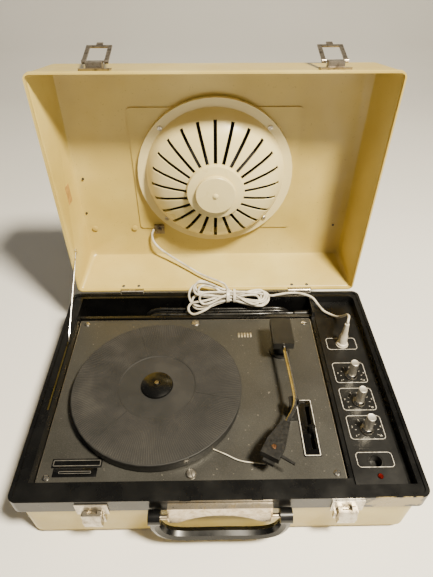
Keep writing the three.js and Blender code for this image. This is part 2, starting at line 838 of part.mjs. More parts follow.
// ---------------------------------------------------------------- hinges
for (const [side, x] of [
  ["left", -HINGE_X],
  ["right", HINGE_X],
]) {
  const x0 = x - HINGE_WIDTH / 2;
  const x1 = x + HINGE_WIDTH / 2;
  const third = HINGE_WIDTH / 3;
  const face = CASE_DEPTH + GAP;
  const barrel = (a, b, radius) => crossBar(a, b, HINGE_Y, HINGE_Z, radius, 16);
  const leaf = cut(
    join(
      barrel(x0, x0 + third - 0.2, 2.1),
      barrel(x1 - third + 0.2, x1, 2.1),
      box(x0, x1, face, face + 1.1, -19, -0.7),
      box(x0, x0 + third - 0.2, face, face + 1.1, -1.5, HINGE_Z),
      box(x1 - third + 0.2, x1, face, face + 1.1, -1.5, HINGE_Z),
    ),
    barrel(x0 + third - 1, x1 - third + 1, 1.2),
  );
  add(base, `hinge_leaf_${side}`, leaf.add(barrel(x0 - 0.6, x1 + 0.6, 0.9)), "nickel");
}

// ---------------------------------------------------------------- lid
function lidShell() {
  const half = LID_WIDTH / 2;
  const level = (h, insetX, insetS, radius) => ({
    z: lidZ(h),
    x: half - insetX,
    y0: lidY(LID_LENGTH - insetS),
    y1: lidY(insetS),
    radius,
  });
  const [topX, topS] = [lidInset(LID_HEIGHT - 7, LID_DRAFT_X), lidInset(LID_HEIGHT - 7, LID_DRAFT_Y)];
  const skin = (d) => [
    level(d ? -1 : 0, d, d, 7 - d),
    level(5.5, d, d, 7 - d),
    level(LID_BEAD_TOP, LID_BEAD + d, LID_BEAD + d, 7 - d),
    level(LID_HEIGHT - 7 - d, topX + d, topS + d, 10 - d),
    level(LID_HEIGHT - 2 - d, topX + 2.2 + d, topS + 2.2 + d, 10),
    level(LID_HEIGHT - d, topX + 7 + d, topS + 7 + d, 8),
  ];
  const pad = plate(roundedRectangle(-109, 109, lidY(237), lidY(62), 5), lidZ(70.4), lidZ(LID_HEIGHT - 1), 3);
  const hingeRoom = [-HINGE_X, HINGE_X].map((x) =>
    box(x - 17, x + 17, lidY(2.6), lidY(-1), lidZ(-2), lidZ(3.8)),
  );
  const stud = crossBar(STAY.x - 3, STAY.x + 2, lidY(STAY.s), lidZ(STAY.h), 0.8, 12);
  const studHead = crossBar(STAY.x + 1.6, STAY.x + 2.6, lidY(STAY.s), lidZ(STAY.h), 2.4, 16);
  const walls = stacked(skin(0)).subtract(stacked(skin(LID_WALL)));
  return cut(join(walls, pad, stud, studHead), ...hingeRoom);
}
add(lid, "lid_shell", lidShell(), "cream");

for (const [side, x] of [
  ["left", -HINGE_X],
  ["right", HINGE_X],
]) {
  const third = HINGE_WIDTH / 6;
  const leaf = cut(
    join(
      crossBar(x - third + 0.2, x + third - 0.2, 0, 0, 2.1, 16),
      box(x - third + 0.2, x + third - 0.2, -1.2, -0.1, 0, 5),
      box(x - HINGE_WIDTH / 2, x + HINGE_WIDTH / 2, -1.2, -0.1, 2.7, 16),
    ),
    crossBar(x - 8, x + 8, 0, 0, 1.2, 16),
  );
  add(lid, `lid_hinge_leaf_${side}`, leaf, "nickel");
}

const GRILLE_DOME = [
  [GRILLE.radius, 70.1],
  [GRILLE.radius, GRILLE.flange],
  [GRILLE.dome, GRILLE.flange],
  [88, 53],
  [80, 43],
  [68, 35.5],
  [52, 28.5],
  [37.5, 23.5],
  [36, 18.4],
  [30.5, 17.4],
];
function grilleDome() {
  const skin = 1.4;
  const outer = GRILLE_DOME.map(([radius, h]) => [radius, lidZ(h)]);
  const inner = GRILLE_DOME.map(([radius, h], i) => [radius - skin, lidZ(h) + (i ? skin : 0)]).reverse();
  const closed = [[0, lidZ(16)], [0, lidZ(16) + skin], ...inner, ...outer, [0, lidZ(16)]];
  const cap = post(0, lidY(GRILLE.s), lidZ(GRILLE.hub), lidZ(17.3), 25.3, 25.3, 32);
  const dome = turned(closed, 0, lidY(GRILLE.s), 48).add(cap);
  const slots = [];
  for (let i = 0; i < GRILLE.slots; i++) {
    const slot = new THREE.BoxGeometry(46, 4.4, 60);
    slot.translate(60, 0, lidZ(30));
    slot.rotateZ((i / GRILLE.slots) * Math.PI * 2);
    slot.translate(0, lidY(GRILLE.s), 0);
    slots.push(solid(slot));
  }
  return cut(dome, ...slots);
}
add(lid, "speaker_grille", grilleDome(), "grille");

const magnet = join(
  post(0, lidY(GRILLE.s), lidZ(19.2), lidZ(31), 24, 24, 28),
  post(0, lidY(GRILLE.s), lidZ(30.5), lidZ(33), 21, 21, 28),
);
add(lid, "speaker_magnet", magnet, "magnet");

const basket = turned(
  [
    [0, lidZ(33.4)],
    [0, lidZ(42)],
    [14, lidZ(43)],
    [20, lidZ(39)],
    [58, lidZ(65)],
    [72, lidZ(69.3)],
    [74, lidZ(70.1)],
    [84, lidZ(70.1)],
    [84, lidZ(68.6)],
    [76, lidZ(68)],
    [64, lidZ(61)],
    [25, lidZ(33.4)],
    [0, lidZ(33.4)],
  ],
  0,
  lidY(GRILLE.s),
  28,
);
add(lid, "speaker_driver", basket, "paper");

const TERMINAL = { x: -81.5, s: 61.5 };
const terminal = join(
  box(TERMINAL.x - 7, TERMINAL.x + 7, lidY(TERMINAL.s - 7), lidY(TERMINAL.s + 7), lidZ(66), lidZ(70.1)),
  post(TERMINAL.x, lidY(TERMINAL.s), lidZ(62), lidZ(67), 3.4, 3.4, 16),
);
add(lid, "speaker_terminal", terminal, "nickel");

// ---------------------------------------------------------------- lid catches
const HASP_PIVOT = { y: lidY(LID_LENGTH) - 5, z: lidZ(20) };
for (const [side, x] of [
  ["left", -LATCH_X],
  ["right", LATCH_X],
]) {
  const wallAt = (h) => lidY(LID_LENGTH - lidInset(h, LID_DRAFT_Y)) - GAP;
  const haspPlate = join(
    sideways(
      [
        [wallAt(7), lidZ(7)],
        [wallAt(22), lidZ(22)],
        [wallAt(22) - 1.2, lidZ(22)],
        [wallAt(7) - 2.6, lidZ(7)],
      ],
      x - 16,
      x + 16,
    ),
    sideways(
      [
        [wallAt(9) - 0.6, lidZ(9)],
        [wallAt(20) - 0.6, lidZ(20)],
        [HASP_PIVOT.y - 1.5, lidZ(19)],
        [HASP_PIVOT.y - 2, lidZ(10)],
      ],
      x - 8.5,
      x + 8.5,
    ),
    crossBar(x - 13.5, x + 13.5, HASP_PIVOT.y, HASP_PIVOT.z, 1, 12),
  );
  add(lid, `hasp_plate_${side}`, haspPlate, "nickel");

  // Drawn in its closed place, pointing down from its pivot, then swung up to where it idles.
  const reach = -HASP_LENGTH;
  const frame = cut(
    join(
      box(-14, 14, -0.7, 0.7, reach, 0),
      crossBar(-14, 14, 0, 0, 2, 16),
      box(-3.5, 3.5, -0.7, 0.7, reach - 6, reach + 1),
    ),
    box(-9.6, 9.6, -4, 4, reach + 4, 8),
    crossBar(-15, 15, 0, 0, 1.3, 16),
  );
  const geometry = geometryOf(frame);
  geometry.rotateX(-(Math.PI - HASP_LIFT));
  geometry.translate(x, HASP_PIVOT.y, HASP_PIVOT.z);
  add(lid, `hasp_${side}`, solid(geometry), "nickel");
}

// ---------------------------------------------------------------- lid stay
const stayWorld = { y: HINGE_Y + lidZ(STAY.h), z: HINGE_Z - lidY(STAY.s) };
const stayEye = cut(
  join(
    crossBar(STAY.x - STAY.radius, STAY.x + STAY.radius, stayWorld.y, stayWorld.z, 2.6, 16),
    tube(
      [
        [STAY.x, stayWorld.y - 1.6, stayWorld.z - 1],
        [STAY.x, (stayWorld.y + STAY.footY) / 2, (stayWorld.z + STAY.footZ) / 2],
        [STAY.x, STAY.footY + 3, STAY.footZ + 2.2],
        [STAY.x, STAY.footY, STAY.footZ - 2.5],
      ],
      STAY.radius,
      8,
      16,
    ),
  ),
  crossBar(STAY.x - 3, STAY.x + 3, stayWorld.y, stayWorld.z, 1.1, 12),
);
add(base, "lid_stay", stayEye, "steel");

// ---------------------------------------------------------------- loudspeaker lead
const LID_LEAD = [
  [TERMINAL.x - 8.4, 368.2, 64.4],
  [TERMINAL.x - 11, 367.6, 63],
  [-94, 366, 56],
  [-91.5, 364, 45],
  [-84, 360.5, 36],
  [-72, 355, 29],
  [-56, 345, 24],
  [-37, 332, 19.5],
  [-25, 323, 17.6],
  [-12, 314.5, 16.8],
  [2, 307, 16.2],
  [14, 301, 15],
  [24, 296.4, 13.2],
];
add(cords, "speaker_lead_lid", tube(LID_LEAD, SPEAKER_CORD_RADIUS, 8, 34), "white");

// The hank's outer shape from its left end to its right: a wide lobe, a tied waist and a smaller lobe.
// Each station's ellipse is turned back by its tilt.
const HANK = [
  { x: -40, y: 278.6, z: 9.6, halfWidth: 4, halfThickness: 2.5, tilt: 1 },
  { x: -37, y: 278.8, z: 9.8, halfWidth: 13, halfThickness: 4.5, tilt: 1 },
  { x: -30, y: 279.2, z: 10, halfWidth: 21, halfThickness: 5.5, tilt: 1 },
  { x: -18, y: 280, z: 10, halfWidth: 23.5, halfThickness: 6, tilt: 0.98 },
  { x: -4, y: 282.5, z: 8.6, halfWidth: 18, halfThickness: 6.5, tilt: 0.85 },
  { x: 10, y: 285.6, z: 6.4, halfWidth: 11, halfThickness: 6.5, tilt: 0.66 },
  { x: 21, y: 287, z: 5.2, halfWidth: 8.6, halfThickness: 6.5, tilt: 0.56 },
  { x: 34, y: 285, z: 4.6, halfWidth: 10.5, halfThickness: 6.5, tilt: 0.5 },
  { x: 50, y: 283.2, z: 4, halfWidth: 14, halfThickness: 6, tilt: 0.42 },
  { x: 64, y: 283, z: 3.6, halfWidth: 14, halfThickness: 5.5, tilt: 0.38 },
  { x: 73, y: 284, z: 3.6, halfWidth: 10, halfThickness: 4.5, tilt: 0.36 },
  { x: 78, y: 286.4, z: 3.8, halfWidth: 4, halfThickness: 2.5, tilt: 0.35 },
];
const hankRings = HANK.map(({ x, y, z, halfWidth, halfThickness, tilt }) =>
  Array.from({ length: 16 }, (_, i) => {
    const across = halfWidth * Math.cos((i / 16) * Math.PI * 2);
    const up = halfThickness * Math.sin((i / 16) * Math.PI * 2);
    const [cos, sin] = [Math.cos(tilt), Math.sin(tilt)];
    return [x, y + across * cos - up * sin, z + across * sin + up * cos];
  }),
);
add(cords, "speaker_lead_hank", skinned(hankRings), "white");

const BASE_LEAD = [
  [78.8, 287.2, 4],
  [88, 288.4, 4.6],
  [103, 292, 4.2],
  [117, 293.4, 3],
  [129, 290.5, 2],
  [138, 284, 1.4],
  [145.5, 276.5, -5],
  [153, 269.5, -10.4],
  [161, 261, -9.4],
  [167, 250, -3],
  [170, 237, 12],
  [169.6, 225, 25.5],
  [168, 215, 31.5],
  [165.6, 208.4, 31.8],
  [165, 207.2, 28.2],
];
add(cords, "speaker_lead_base", tube(BASE_LEAD, SPEAKER_CORD_RADIUS, 8, 38), "white");

const speakerPlug = turned(
  [
    [0, -20],
    [6.3, -20],
    [6.3, PANEL_Z + GAP],
    [7, PANEL_Z + GAP],
    [7, -7.6],
    [5.4, -6.4],
    [5.2, 5],
    [4.4, 8],
    [3.9, 10],
    [2.7, 27],
    [0, 27],
  ],
  SPEAKER_SOCKET.x,
  SPEAKER_SOCKET.y,
  24,
);
add(cords, "speaker_plug", speakerPlug, "white");

// ---------------------------------------------------------------- mains lead, wound in the rear well
const MAINS = { x0: -104, x1: 112.4, y: 275, height: 46, thickness: 17, floor: WELL.z0 + GAP };
const mainsExitZ = MAINS.floor + 38;
const mainsGland = join(
  crossBar(WELL.x1 - GAP - 2, WELL.x1 - GAP, MAINS.y, mainsExitZ, 7, 20),
  post(0, 0, 0, 20, 3.4, 5, 16).rotate([0, 90, 0]).translate([MAINS.x1 + GAP, MAINS.y, mainsExitZ]),
);
add(cords, "mains_gland", mainsGland, "black");

function mainsHank({ x0, x1, y, floor, height, thickness }) {
  const shape = roundedRectangle(x0, x1, floor, floor + height, height / 2 - 0.01);
  const geometry = geometryOf(plate(shape, -thickness / 2, thickness / 2, 8));
  geometry.rotateX(Math.PI / 2);
  geometry.translate(0, y, 0);
  return solid(geometry);
}
add(cords, "mains_lead_hank", mainsHank(MAINS), "black");

const PIN_SPACING = 19;
const plugMiddle = MAINS.floor + 13;
const mainsPlug = join(
  box(-133, MAINS.x0 - GAP, MAINS.y - 7.5, MAINS.y + 7.5, MAINS.floor, MAINS.floor + 26),
  crossBar(-152, -132, MAINS.y, plugMiddle - PIN_SPACING / 2, 2, 12),
  crossBar(-152, -132, MAINS.y, plugMiddle + PIN_SPACING / 2, 2, 12),
);
add(cords, "mains_plug", mainsPlug, "black");

// ---------------------------------------------------------------- the group's own origin
player.updateMatrixWorld(true);
const reach = new THREE.Box3().setFromObject(base, true);
player.position.set(-(reach.min.x + reach.max.x) / 2, -(reach.min.y + reach.max.y) / 2, -reach.min.z);

export default player;
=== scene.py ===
"""A portable record player in its carrying case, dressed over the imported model.

Places are given in millimetres in the case's own terms: x from the middle of the case, y back from the front
of the rim, z up from the top of the rim. Lid places are x, s forward from the rear edge of its rim, h in from
the rim. case_point and lid_point turn both into metres in the shared frame.
"""
import math
import bmesh
import bpy
from mathutils import Matrix, Vector


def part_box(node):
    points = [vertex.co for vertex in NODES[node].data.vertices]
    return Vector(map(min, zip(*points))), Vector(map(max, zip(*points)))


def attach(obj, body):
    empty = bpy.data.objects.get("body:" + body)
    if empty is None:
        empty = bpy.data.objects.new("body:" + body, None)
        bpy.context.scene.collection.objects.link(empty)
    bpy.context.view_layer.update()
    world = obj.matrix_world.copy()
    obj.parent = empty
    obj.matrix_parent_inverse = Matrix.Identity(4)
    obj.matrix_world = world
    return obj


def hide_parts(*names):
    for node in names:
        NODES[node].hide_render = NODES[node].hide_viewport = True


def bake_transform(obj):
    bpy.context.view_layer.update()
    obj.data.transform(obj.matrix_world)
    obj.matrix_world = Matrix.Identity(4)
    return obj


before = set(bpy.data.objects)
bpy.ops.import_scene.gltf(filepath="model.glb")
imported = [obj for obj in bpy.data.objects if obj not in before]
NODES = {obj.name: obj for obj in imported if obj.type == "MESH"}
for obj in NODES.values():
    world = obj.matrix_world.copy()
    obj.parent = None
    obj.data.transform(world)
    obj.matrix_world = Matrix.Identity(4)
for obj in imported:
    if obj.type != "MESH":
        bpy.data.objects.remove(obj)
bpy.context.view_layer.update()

MM = 0.001
FRAME_LOW, FRAME_HIGH = (Vector(corner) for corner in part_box("deck_frame"))
CASE_ORIGIN = Vector(((FRAME_LOW.x + FRAME_HIGH.x) / 2, FRAME_LOW.y, FRAME_HIGH.z))


def case_point(x, y, z):
    return CASE_ORIGIN + Vector((x, y, z)) * MM


LID_REAR, LID_RAISE = 300.3, 3.1


def lid_point(x, s, h):
    return case_point(x, LID_REAR + h, LID_RAISE + s)


# ------------------------------------------------------------------ camera
camera = bpy.data.objects.new("camera", bpy.data.cameras.new("camera"))
bpy.context.scene.collection.objects.link(camera)
camera.location = case_point(-6.44, -197.5, 445.66)
camera.rotation_euler = (math.radians(90 - 41.387), 0, math.radians(-0.842))
camera.data.lens = 28.70
camera.data.clip_end = 30
bpy.context.scene.camera = camera


# ------------------------------------------------------------------ node trees
def srgb(code):
    """An sRGB hex colour as linear RGBA."""
    channels = [int(code[i : i + 2], 16) / 255 for i in (0, 2, 4)]
    linear = [c / 12.92 if c <= 0.04045 else ((c + 0.055) / 1.055) ** 2.4 for c in channels]
    return (*linear, 1.0)


def add(tree, kind, settings=None, **inputs):
    """A node of a kind with its settings, and its inputs set to values or linked from sockets.

    An input is named, or numbered as _0 or _1 where names repeat. A colour ramp's setting is its stops, as
    pairs of a position and a hex colour.
    """
    node = tree.nodes.new(kind)
    for name, value in (settings or {}).items():
        if name != "stops":
            setattr(node, name, value)
            continue
        for _ in value[2:]:
            node.color_ramp.elements.new(0.5)
        for element, (position, code) in zip(node.color_ramp.elements, value):
            element.position = position
            element.color = srgb(code)
    for name, value in inputs.items():
        key = int(name[1:]) if name[1:].isdigit() else name.replace("_", " ")
        socket = node.inputs[key]
        if isinstance(value, bpy.types.NodeSocket):
            tree.links.new(value, socket)
        else:
            socket.default_value = value
    return node


def start_material(name):
    """A material, its empty node tree and its Object coordinates."""
    material = bpy.data.materials.new(name)
    material.use_nodes = True
    tree = material.node_tree
    tree.nodes.clear()
    return material, tree, add(tree, "ShaderNodeTexCoord").outputs["Object"]


def end_material(material, **shader):
    """Closes a material with a Principled shader whose sockets are set or linked."""
    tree = material.node_tree
    surface = add(tree, "ShaderNodeBsdfPrincipled", **shader)
    add(tree, "ShaderNodeOutputMaterial", Surface=surface.outputs[0])
    return material


# The kinds of node that most finishes share. A noise's scale is 1000 over its blotches' size in millimetres.
NOISE, RAMP, RANGE = "ShaderNodeTexNoise", "ShaderNodeValToRGB", "ShaderNodeMapRange"
MIX, BUMP, MATHS, VECTOR_MATHS = "ShaderNodeMix", "ShaderNodeBump", "ShaderNodeMath", "ShaderNodeVectorMath"
COLOURS = {"data_type": "RGBA"}


# ------------------------------------------------------------------ materials
def cream_abs():
    # Injection-moulded ABS, aged: a satin gloss, ivory gone honey-yellow in soft uneven patches.
    material, tree, place = start_material("cream ABS, moulded")
    patches = add(tree, NOISE, Vector=place, Scale=1000 / 120, Detail=3, Roughness=0.55).outputs[0]
    yellowing = {"stops": [(0.3, "b39c4c"), (0.5, "bea85a"), (0.72, "cbb86e")]}
    colour = add(tree, RAMP, yellowing, Fac=patches).outputs[0]
    dirt = add(tree, NOISE, Vector=place, Scale=1000 / 2.4, Detail=1).outputs[0]
    specks = add(tree, RANGE, Value=dirt, From_Min=0.70, From_Max=0.76).outputs[0]
    specks = add(tree, RANGE, Value=specks, To_Max=0.35).outputs[0]
    colour = add(tree, MIX, COLOURS, _0=specks, _6=colour, _7=srgb("7d6a34")).outputs[2]
    smears = add(tree, NOISE, Vector=place, Scale=1000 / 26, Detail=4, Roughness=0.6, Distortion=0.4).outputs[0]
    gloss = add(tree, RANGE, Value=smears, From_Min=0.3, From_Max=0.75, To_Min=0.30, To_Max=0.46).outputs[0]
    # The mould's fine spark-eroded grain, drawn at 1.2 mm so that it still shows.
    grain = add(tree, NOISE, Vector=place, Scale=1000 / 1.2, Detail=2).outputs[0]
    relief = add(tree, BUMP, Strength=0.22, Distance=0.05 * MM, Height=grain).outputs[0]
    return end_material(material, IOR=1.53, Base_Color=colour, Roughness=gloss, Normal=relief)


def rubbed_corner(tree, place, colour):
    """Black gone from the right of the frame's front band, in a ragged patch, to the cream beneath."""
    from_corner = add(
        tree, VECTOR_MATHS, {"operation": "SUBTRACT"}, _0=place, _1=tuple(case_point(172, 0, -10))
    ).outputs[0]
    squeezed = add(
        tree, VECTOR_MATHS, {"operation": "MULTIPLY"}, _0=from_corner, _1=(0.034, 0.16, 0.085)
    ).outputs[0]
    scaled = add(tree, VECTOR_MATHS, {"operation": "SCALE"}, _0=squeezed, Scale=1000.0).outputs[0]
    reach = add(tree, VECTOR_MATHS, {"operation": "LENGTH"}, _0=scaled).outputs[1]
    chips = add(tree, NOISE, Vector=place, Scale=1000 / 9, Detail=4).outputs[0]
    chips = add(tree, RANGE, Value=chips, From_Min=0.3, From_Max=0.7, To_Min=-0.35, To_Max=0.35).outputs[0]
    ragged = add(tree, MATHS, {"operation": "ADD"}, _0=reach, _1=chips).outputs[0]
    # Only the outermost millimetre of the band is rubbed.
    back = add(tree, "ShaderNodeSeparateXYZ", Vector=place).outputs[1]
    behind = add(
        tree, RANGE, Value=back, From_Min=FRAME_LOW.y + 0.8 * MM, From_Max=FRAME_LOW.y + 1.2 * MM
    ).outputs[0]
    behind = add(tree, RANGE, Value=behind, To_Max=9).outputs[0]
    ragged = add(tree, MATHS, {"operation": "MAXIMUM"}, _0=ragged, _1=behind).outputs[0]
    bare = add(tree, RANGE, Value=ragged, From_Min=0.9, From_Max=1.1, To_Min=1, To_Max=0).outputs[0]
    return add(tree, MIX, COLOURS, _0=bare, _6=colour, _7=srgb("8f7f58")).outputs[2]


def black_abs(name="black ABS, moulded", gloss=0.2, worn=False):
    # Injection-moulded ABS in black: a deep gloss that shows dust and fine wiping marks.
    material, tree, place = start_material(name)
    dust = add(tree, NOISE, Vector=place, Scale=1000 / 1.5, Detail=2).outputs[0]
    wiped = add(tree, NOISE, Vector=place, Scale=1000 / 38, Detail=4, Roughness=0.62).outputs[0]
    haze = add(tree, MATHS, {"operation": "MULTIPLY"}, _0=dust, _1=wiped).outputs[0]
    blacks = {"stops": [(0.2, "060606"), (0.34, "0a0a09"), (0.5, "161513")]}
    colour = add(tree, RAMP, blacks, Fac=haze).outputs[0]
    if worn:
        colour = rubbed_corner(tree, place, colour)
    rough = add(
        tree, RANGE, Value=wiped, From_Min=0.3, From_Max=0.75, To_Min=gloss, To_Max=gloss + 0.16
    ).outputs[0]
    ripple = add(tree, NOISE, Vector=place, Scale=1000 / 5, Detail=2).outputs[0]
    relief = add(tree, BUMP, Strength=0.15, Distance=0.05 * MM, Height=ripple).outputs[0]
    return end_material(material, IOR=1.53, Base_Color=colour, Roughness=rough, Normal=relief)


def satin_black():
    # Moulded phenolic and ABS arm parts: a dull brownish black with a fine even grain.
    material, tree, place = start_material("satin black moulding")
    tone = add(tree, NOISE, Vector=place, Scale=1000 / 14, Detail=3).outputs[0]
    colour = add(tree, RAMP, {"stops": [(0.3, "0e0e0d"), (0.7, "181715")]}, Fac=tone).outputs[0]
    handled = add(tree, NOISE, Vector=place, Scale=1000 / 3, Detail=2).outputs[0]
    rough = add(tree, RANGE, Value=handled, From_Min=0.3, From_Max=0.7, To_Min=0.34, To_Max=0.5).outputs[0]
    grain = add(tree, NOISE, Vector=place, Scale=1000 / 0.9, Detail=2).outputs[0]
    relief = add(tree, BUMP, Strength=0.3, Distance=0.04 * MM, Height=grain).outputs[0]
    return end_material(material, IOR=1.52, Base_Color=colour, Roughness=rough, Normal=relief)


def deck_paint():
    # Stoved metallic enamel on sheet steel: dark warm grey with a satin sheen and tiny flake.
    material, tree, place = start_material("stoved metallic enamel")
    flake = add(tree, NOISE, Vector=place, Scale=1000 / 0.8, Detail=1).outputs[0]
    patch = add(tree, NOISE, Vector=place, Scale=1000 / 70, Detail=3).outputs[0]
    colour = add(tree, RAMP, {"stops": [(0.3, "383733"), (0.7, "43423e")]}, Fac=patch).outputs[0]
    glint = add(tree, RANGE, Value=flake, From_Min=0.45, From_Max=0.7, To_Max=0.25).outputs[0]
    colour = add(tree, MIX, COLOURS, _0=glint, _6=colour, _7=srgb("6a6963")).outputs[2]
    scuff = add(tree, NOISE, Vector=place, Scale=1000 / 3, Detail=1).outputs[0]
    scuff = add(tree, RANGE, Value=scuff, From_Min=0.74, From_Max=0.78).outputs[0]
    scuff = add(tree, RANGE, Value=scuff, To_Max=0.5).outputs[0]
    colour = add(tree, MIX, COLOURS, _0=scuff, _6=colour, _7=srgb("9a958a")).outputs[2]
    rough = add(tree, RANGE, Value=patch, From_Min=0.3, From_Max=0.7, To_Min=0.34, To_Max=0.46).outputs[0]
    relief = add(tree, BUMP, Strength=0.25, Distance=0.03 * MM, Height=flake).outputs[0]
    return end_material(material, IOR=1.5, Metallic=0.45, Base_Color=colour, Roughness=rough, Normal=relief)


def ribbed_rubber(name="moulded rubber", dark="161615", mid="1f1e1c", light="2b2926"):
    # Moulded rubber, chalky with age: charcoal, greyer where records have rubbed it.
    material, tree, place = start_material(name)
    bloom = add(tree, NOISE, Vector=place, Scale=1000 / 34, Detail=4, Roughness=0.6).outputs[0]
    colour = add(tree, RAMP, {"stops": [(0.3, dark), (0.55, mid), (0.75, light)]}, Fac=bloom).outputs[0]
    rough = add(tree, RANGE, Value=bloom, From_Min=0.3, From_Max=0.7, To_Min=0.6, To_Max=0.78).outputs[0]
    grain = add(tree, NOISE, Vector=place, Scale=1000 / 1.0, Detail=3).outputs[0]
    relief = add(tree, BUMP, Strength=0.4, Distance=0.06 * MM, Height=grain).outputs[0]
    return end_material(material, IOR=1.5, Base_Color=colour, Roughness=rough, Normal=relief)


def plated_steel(name="nickel-plated steel", light="cfc8ba", dark="9a8f7c", rough=0.26):
    # Pressed steel with thin nickel plate, worn and tarnished brown in the hollows.
    material, tree, place = start_material(name)
    tarnish = add(tree, NOISE, Vector=place, Scale=1000 / 6, Detail=5, Roughness=0.65).outputs[0]
    browns = {"stops": [(0.32, dark), (0.55, light), (0.75, light)]}
    colour = add(tree, RAMP, browns, Fac=tarnish).outputs[0]
    gloss = add(
        tree, RANGE, Value=tarnish, From_Min=0.3, From_Max=0.7, To_Min=rough + 0.16, To_Max=rough
    ).outputs[0]
    grain = add(tree, NOISE, Vector=place, Scale=1000 / 1.6, Detail=3).outputs[0]
    relief = add(tree, BUMP, Strength=0.25, Distance=0.05 * MM, Height=grain).outputs[0]
    return end_material(material, Metallic=1.0, Base_Color=colour, Roughness=gloss, Normal=relief)


def bright_steel(name="bright steel", colour="d6d2ca", rough=0.16):
    # Turned or drawn and polished metal: clean highlights with a little handling haze.
    material, tree, place = start_material(name)
    haze = add(tree, NOISE, Vector=place, Scale=1000 / 5, Detail=4).outputs[0]
    dulled = add(tree, RANGE, Value=haze, From_Min=0.4, From_Max=0.7, To_Max=0.5).outputs[0]
    tint = add(tree, MIX, COLOURS, _0=dulled, _6=srgb(colour), _7=srgb("9d968a")).outputs[2]
    gloss = add(
        tree, RANGE, Value=haze, From_Min=0.3, From_Max=0.7, To_Min=rough, To_Max=rough + 0.14
    ).outputs[0]
    grain = add(tree, NOISE, Vector=place, Scale=1000 / 2.0, Detail=2).outputs[0]
    relief = add(tree, BUMP, Strength=0.2, Distance=0.02 * MM, Height=grain).outputs[0]
    return end_material(material, Metallic=1.0, Base_Color=tint, Roughness=gloss, Normal=relief)


def grille_enamel():
    # Spray enamel on pressed sheet: paler than the case, smooth, with a soft gloss.
    material, tree, place = start_material("cream spray enamel")
    patch = add(tree, NOISE, Vector=place, Scale=1000 / 60, Detail=3).outputs[0]
    colour = add(tree, RAMP, {"stops": [(0.3, "d6c68c"), (0.7, "e0d29e")]}, Fac=patch).outputs[0]
    gloss = add(tree, RANGE, Value=patch, From_Min=0.3, From_Max=0.7, To_Min=0.26, To_Max=0.38).outputs[0]
    # Orange peel of the sprayed coat, about 1.5 mm.
    peel = add(tree, NOISE, Vector=place, Scale=1000 / 1.5, Detail=1).outputs[0]
    relief = add(tree, BUMP, Strength=0.2, Distance=0.04 * MM, Height=peel).outputs[0]
    return end_material(material, IOR=1.5, Base_Color=colour, Roughness=gloss, Normal=relief)


def sheathing(name, light, dark, rough):
    # Soft PVC cord sheath over two cores: a faint groove runs along each side, darkened with painted shade.
    material, tree, place = start_material(name)
    lengthwise = add(tree, "ShaderNodeUVMap", {"uv_map": "along"}).outputs[0]
    around = add(tree, "ShaderNodeSeparateXYZ", Vector=lengthwise).outputs[0]
    twice = add(tree, MATHS, {"operation": "MULTIPLY"}, _0=around, _1=4 * math.pi).outputs[0]
    groove = add(tree, MATHS, {"operation": "COSINE"}, _0=twice).outputs[0]
    groove = add(tree, RANGE, Value=groove, From_Min=0.6, From_Max=1.0).outputs[0]
    grime = add(tree, NOISE, Vector=place, Scale=1000 / 9, Detail=3).outputs[0]
    colour = add(tree, RAMP, {"stops": [(0.3, dark), (0.6, light)]}, Fac=grime).outputs[0]
    # Painted shade: the colour darkens along each groove.
    groove_painted_shade = add(tree, RANGE, Value=groove, To_Max=0.45).outputs[0]
    colour = add(tree, MIX, COLOURS, _0=groove_painted_shade, _6=colour, _7=srgb(dark)).outputs[2]
    gloss = add(
        tree, RANGE, Value=grime, From_Min=0.3, From_Max=0.7, To_Min=rough, To_Max=rough + 0.12
    ).outputs[0]
    hollow = add(tree, RANGE, Value=groove, To_Min=1, To_Max=0).outputs[0]
    relief = add(tree, BUMP, Strength=0.6, Distance=0.25 * MM, Height=hollow).outputs[0]
    return end_material(material, IOR=1.5, Base_Color=colour, Roughness=gloss, Normal=relief)


def plain_moulding(name, light, dark, rough=0.4, size=12):
    # A small moulded piece in one colour, faintly mottled by handling.
    material, tree, place = start_material(name)
    tone = add(tree, NOISE, Vector=place, Scale=1000 / size, Detail=3).outputs[0]
    colour = add(tree, RAMP, {"stops": [(0.3, dark), (0.7, light)]}, Fac=tone).outputs[0]
    gloss = add(
        tree, RANGE, Value=tone, From_Min=0.3, From_Max=0.7, To_Min=rough, To_Max=rough + 0.12
    ).outputs[0]
    grain = add(tree, NOISE, Vector=place, Scale=1000 / 1.2, Detail=2).outputs[0]
    relief = add(tree, BUMP, Strength=0.25, Distance=0.03 * MM, Height=grain).outputs[0]
    return end_material(material, IOR=1.5, Base_Color=colour, Roughness=gloss, Normal=relief)


def printed_ink():
    # Screen-printed ink, off-white and slightly broken.
    material, tree, place = start_material("screen-printed ink")
    breaks = add(tree, NOISE, Vector=place, Scale=1000 / 3, Detail=3).outputs[0]
    colour = add(tree, RAMP, {"stops": [(0.3, "8f8a80"), (0.6, "d8d3c8")]}, Fac=breaks).outputs[0]
    return end_material(material, IOR=1.5, Roughness=0.5, Base_Color=colour)


def red_lens():
    # A small moulded acrylic lens over an unlit lamp.
    material, tree, place = start_material("red acrylic")
    depth = add(tree, NOISE, Vector=place, Scale=1000 / 3, Detail=2).outputs[0]
    colour = add(tree, RAMP, {"stops": [(0.3, "260403"), (0.7, "560b08")]}, Fac=depth).outputs[0]
    return end_material(material, IOR=1.49, Roughness=0.08, Base_Color=colour)


def studio_paint():
    # Matt emulsion on the studio's floor sweep: pale, with very soft cloudy patches.
    material, tree, place = start_material("pale studio floor")
    clouds = add(tree, NOISE, Vector=place, Scale=1000 / 400, Detail=2).outputs[0]
    colour = add(tree, RAMP, {"stops": [(0.3, "e4e2dd"), (0.7, "e9e7e3")]}, Fac=clouds).outputs[0]
    return end_material(material, Roughness=0.7, Base_Color=colour)


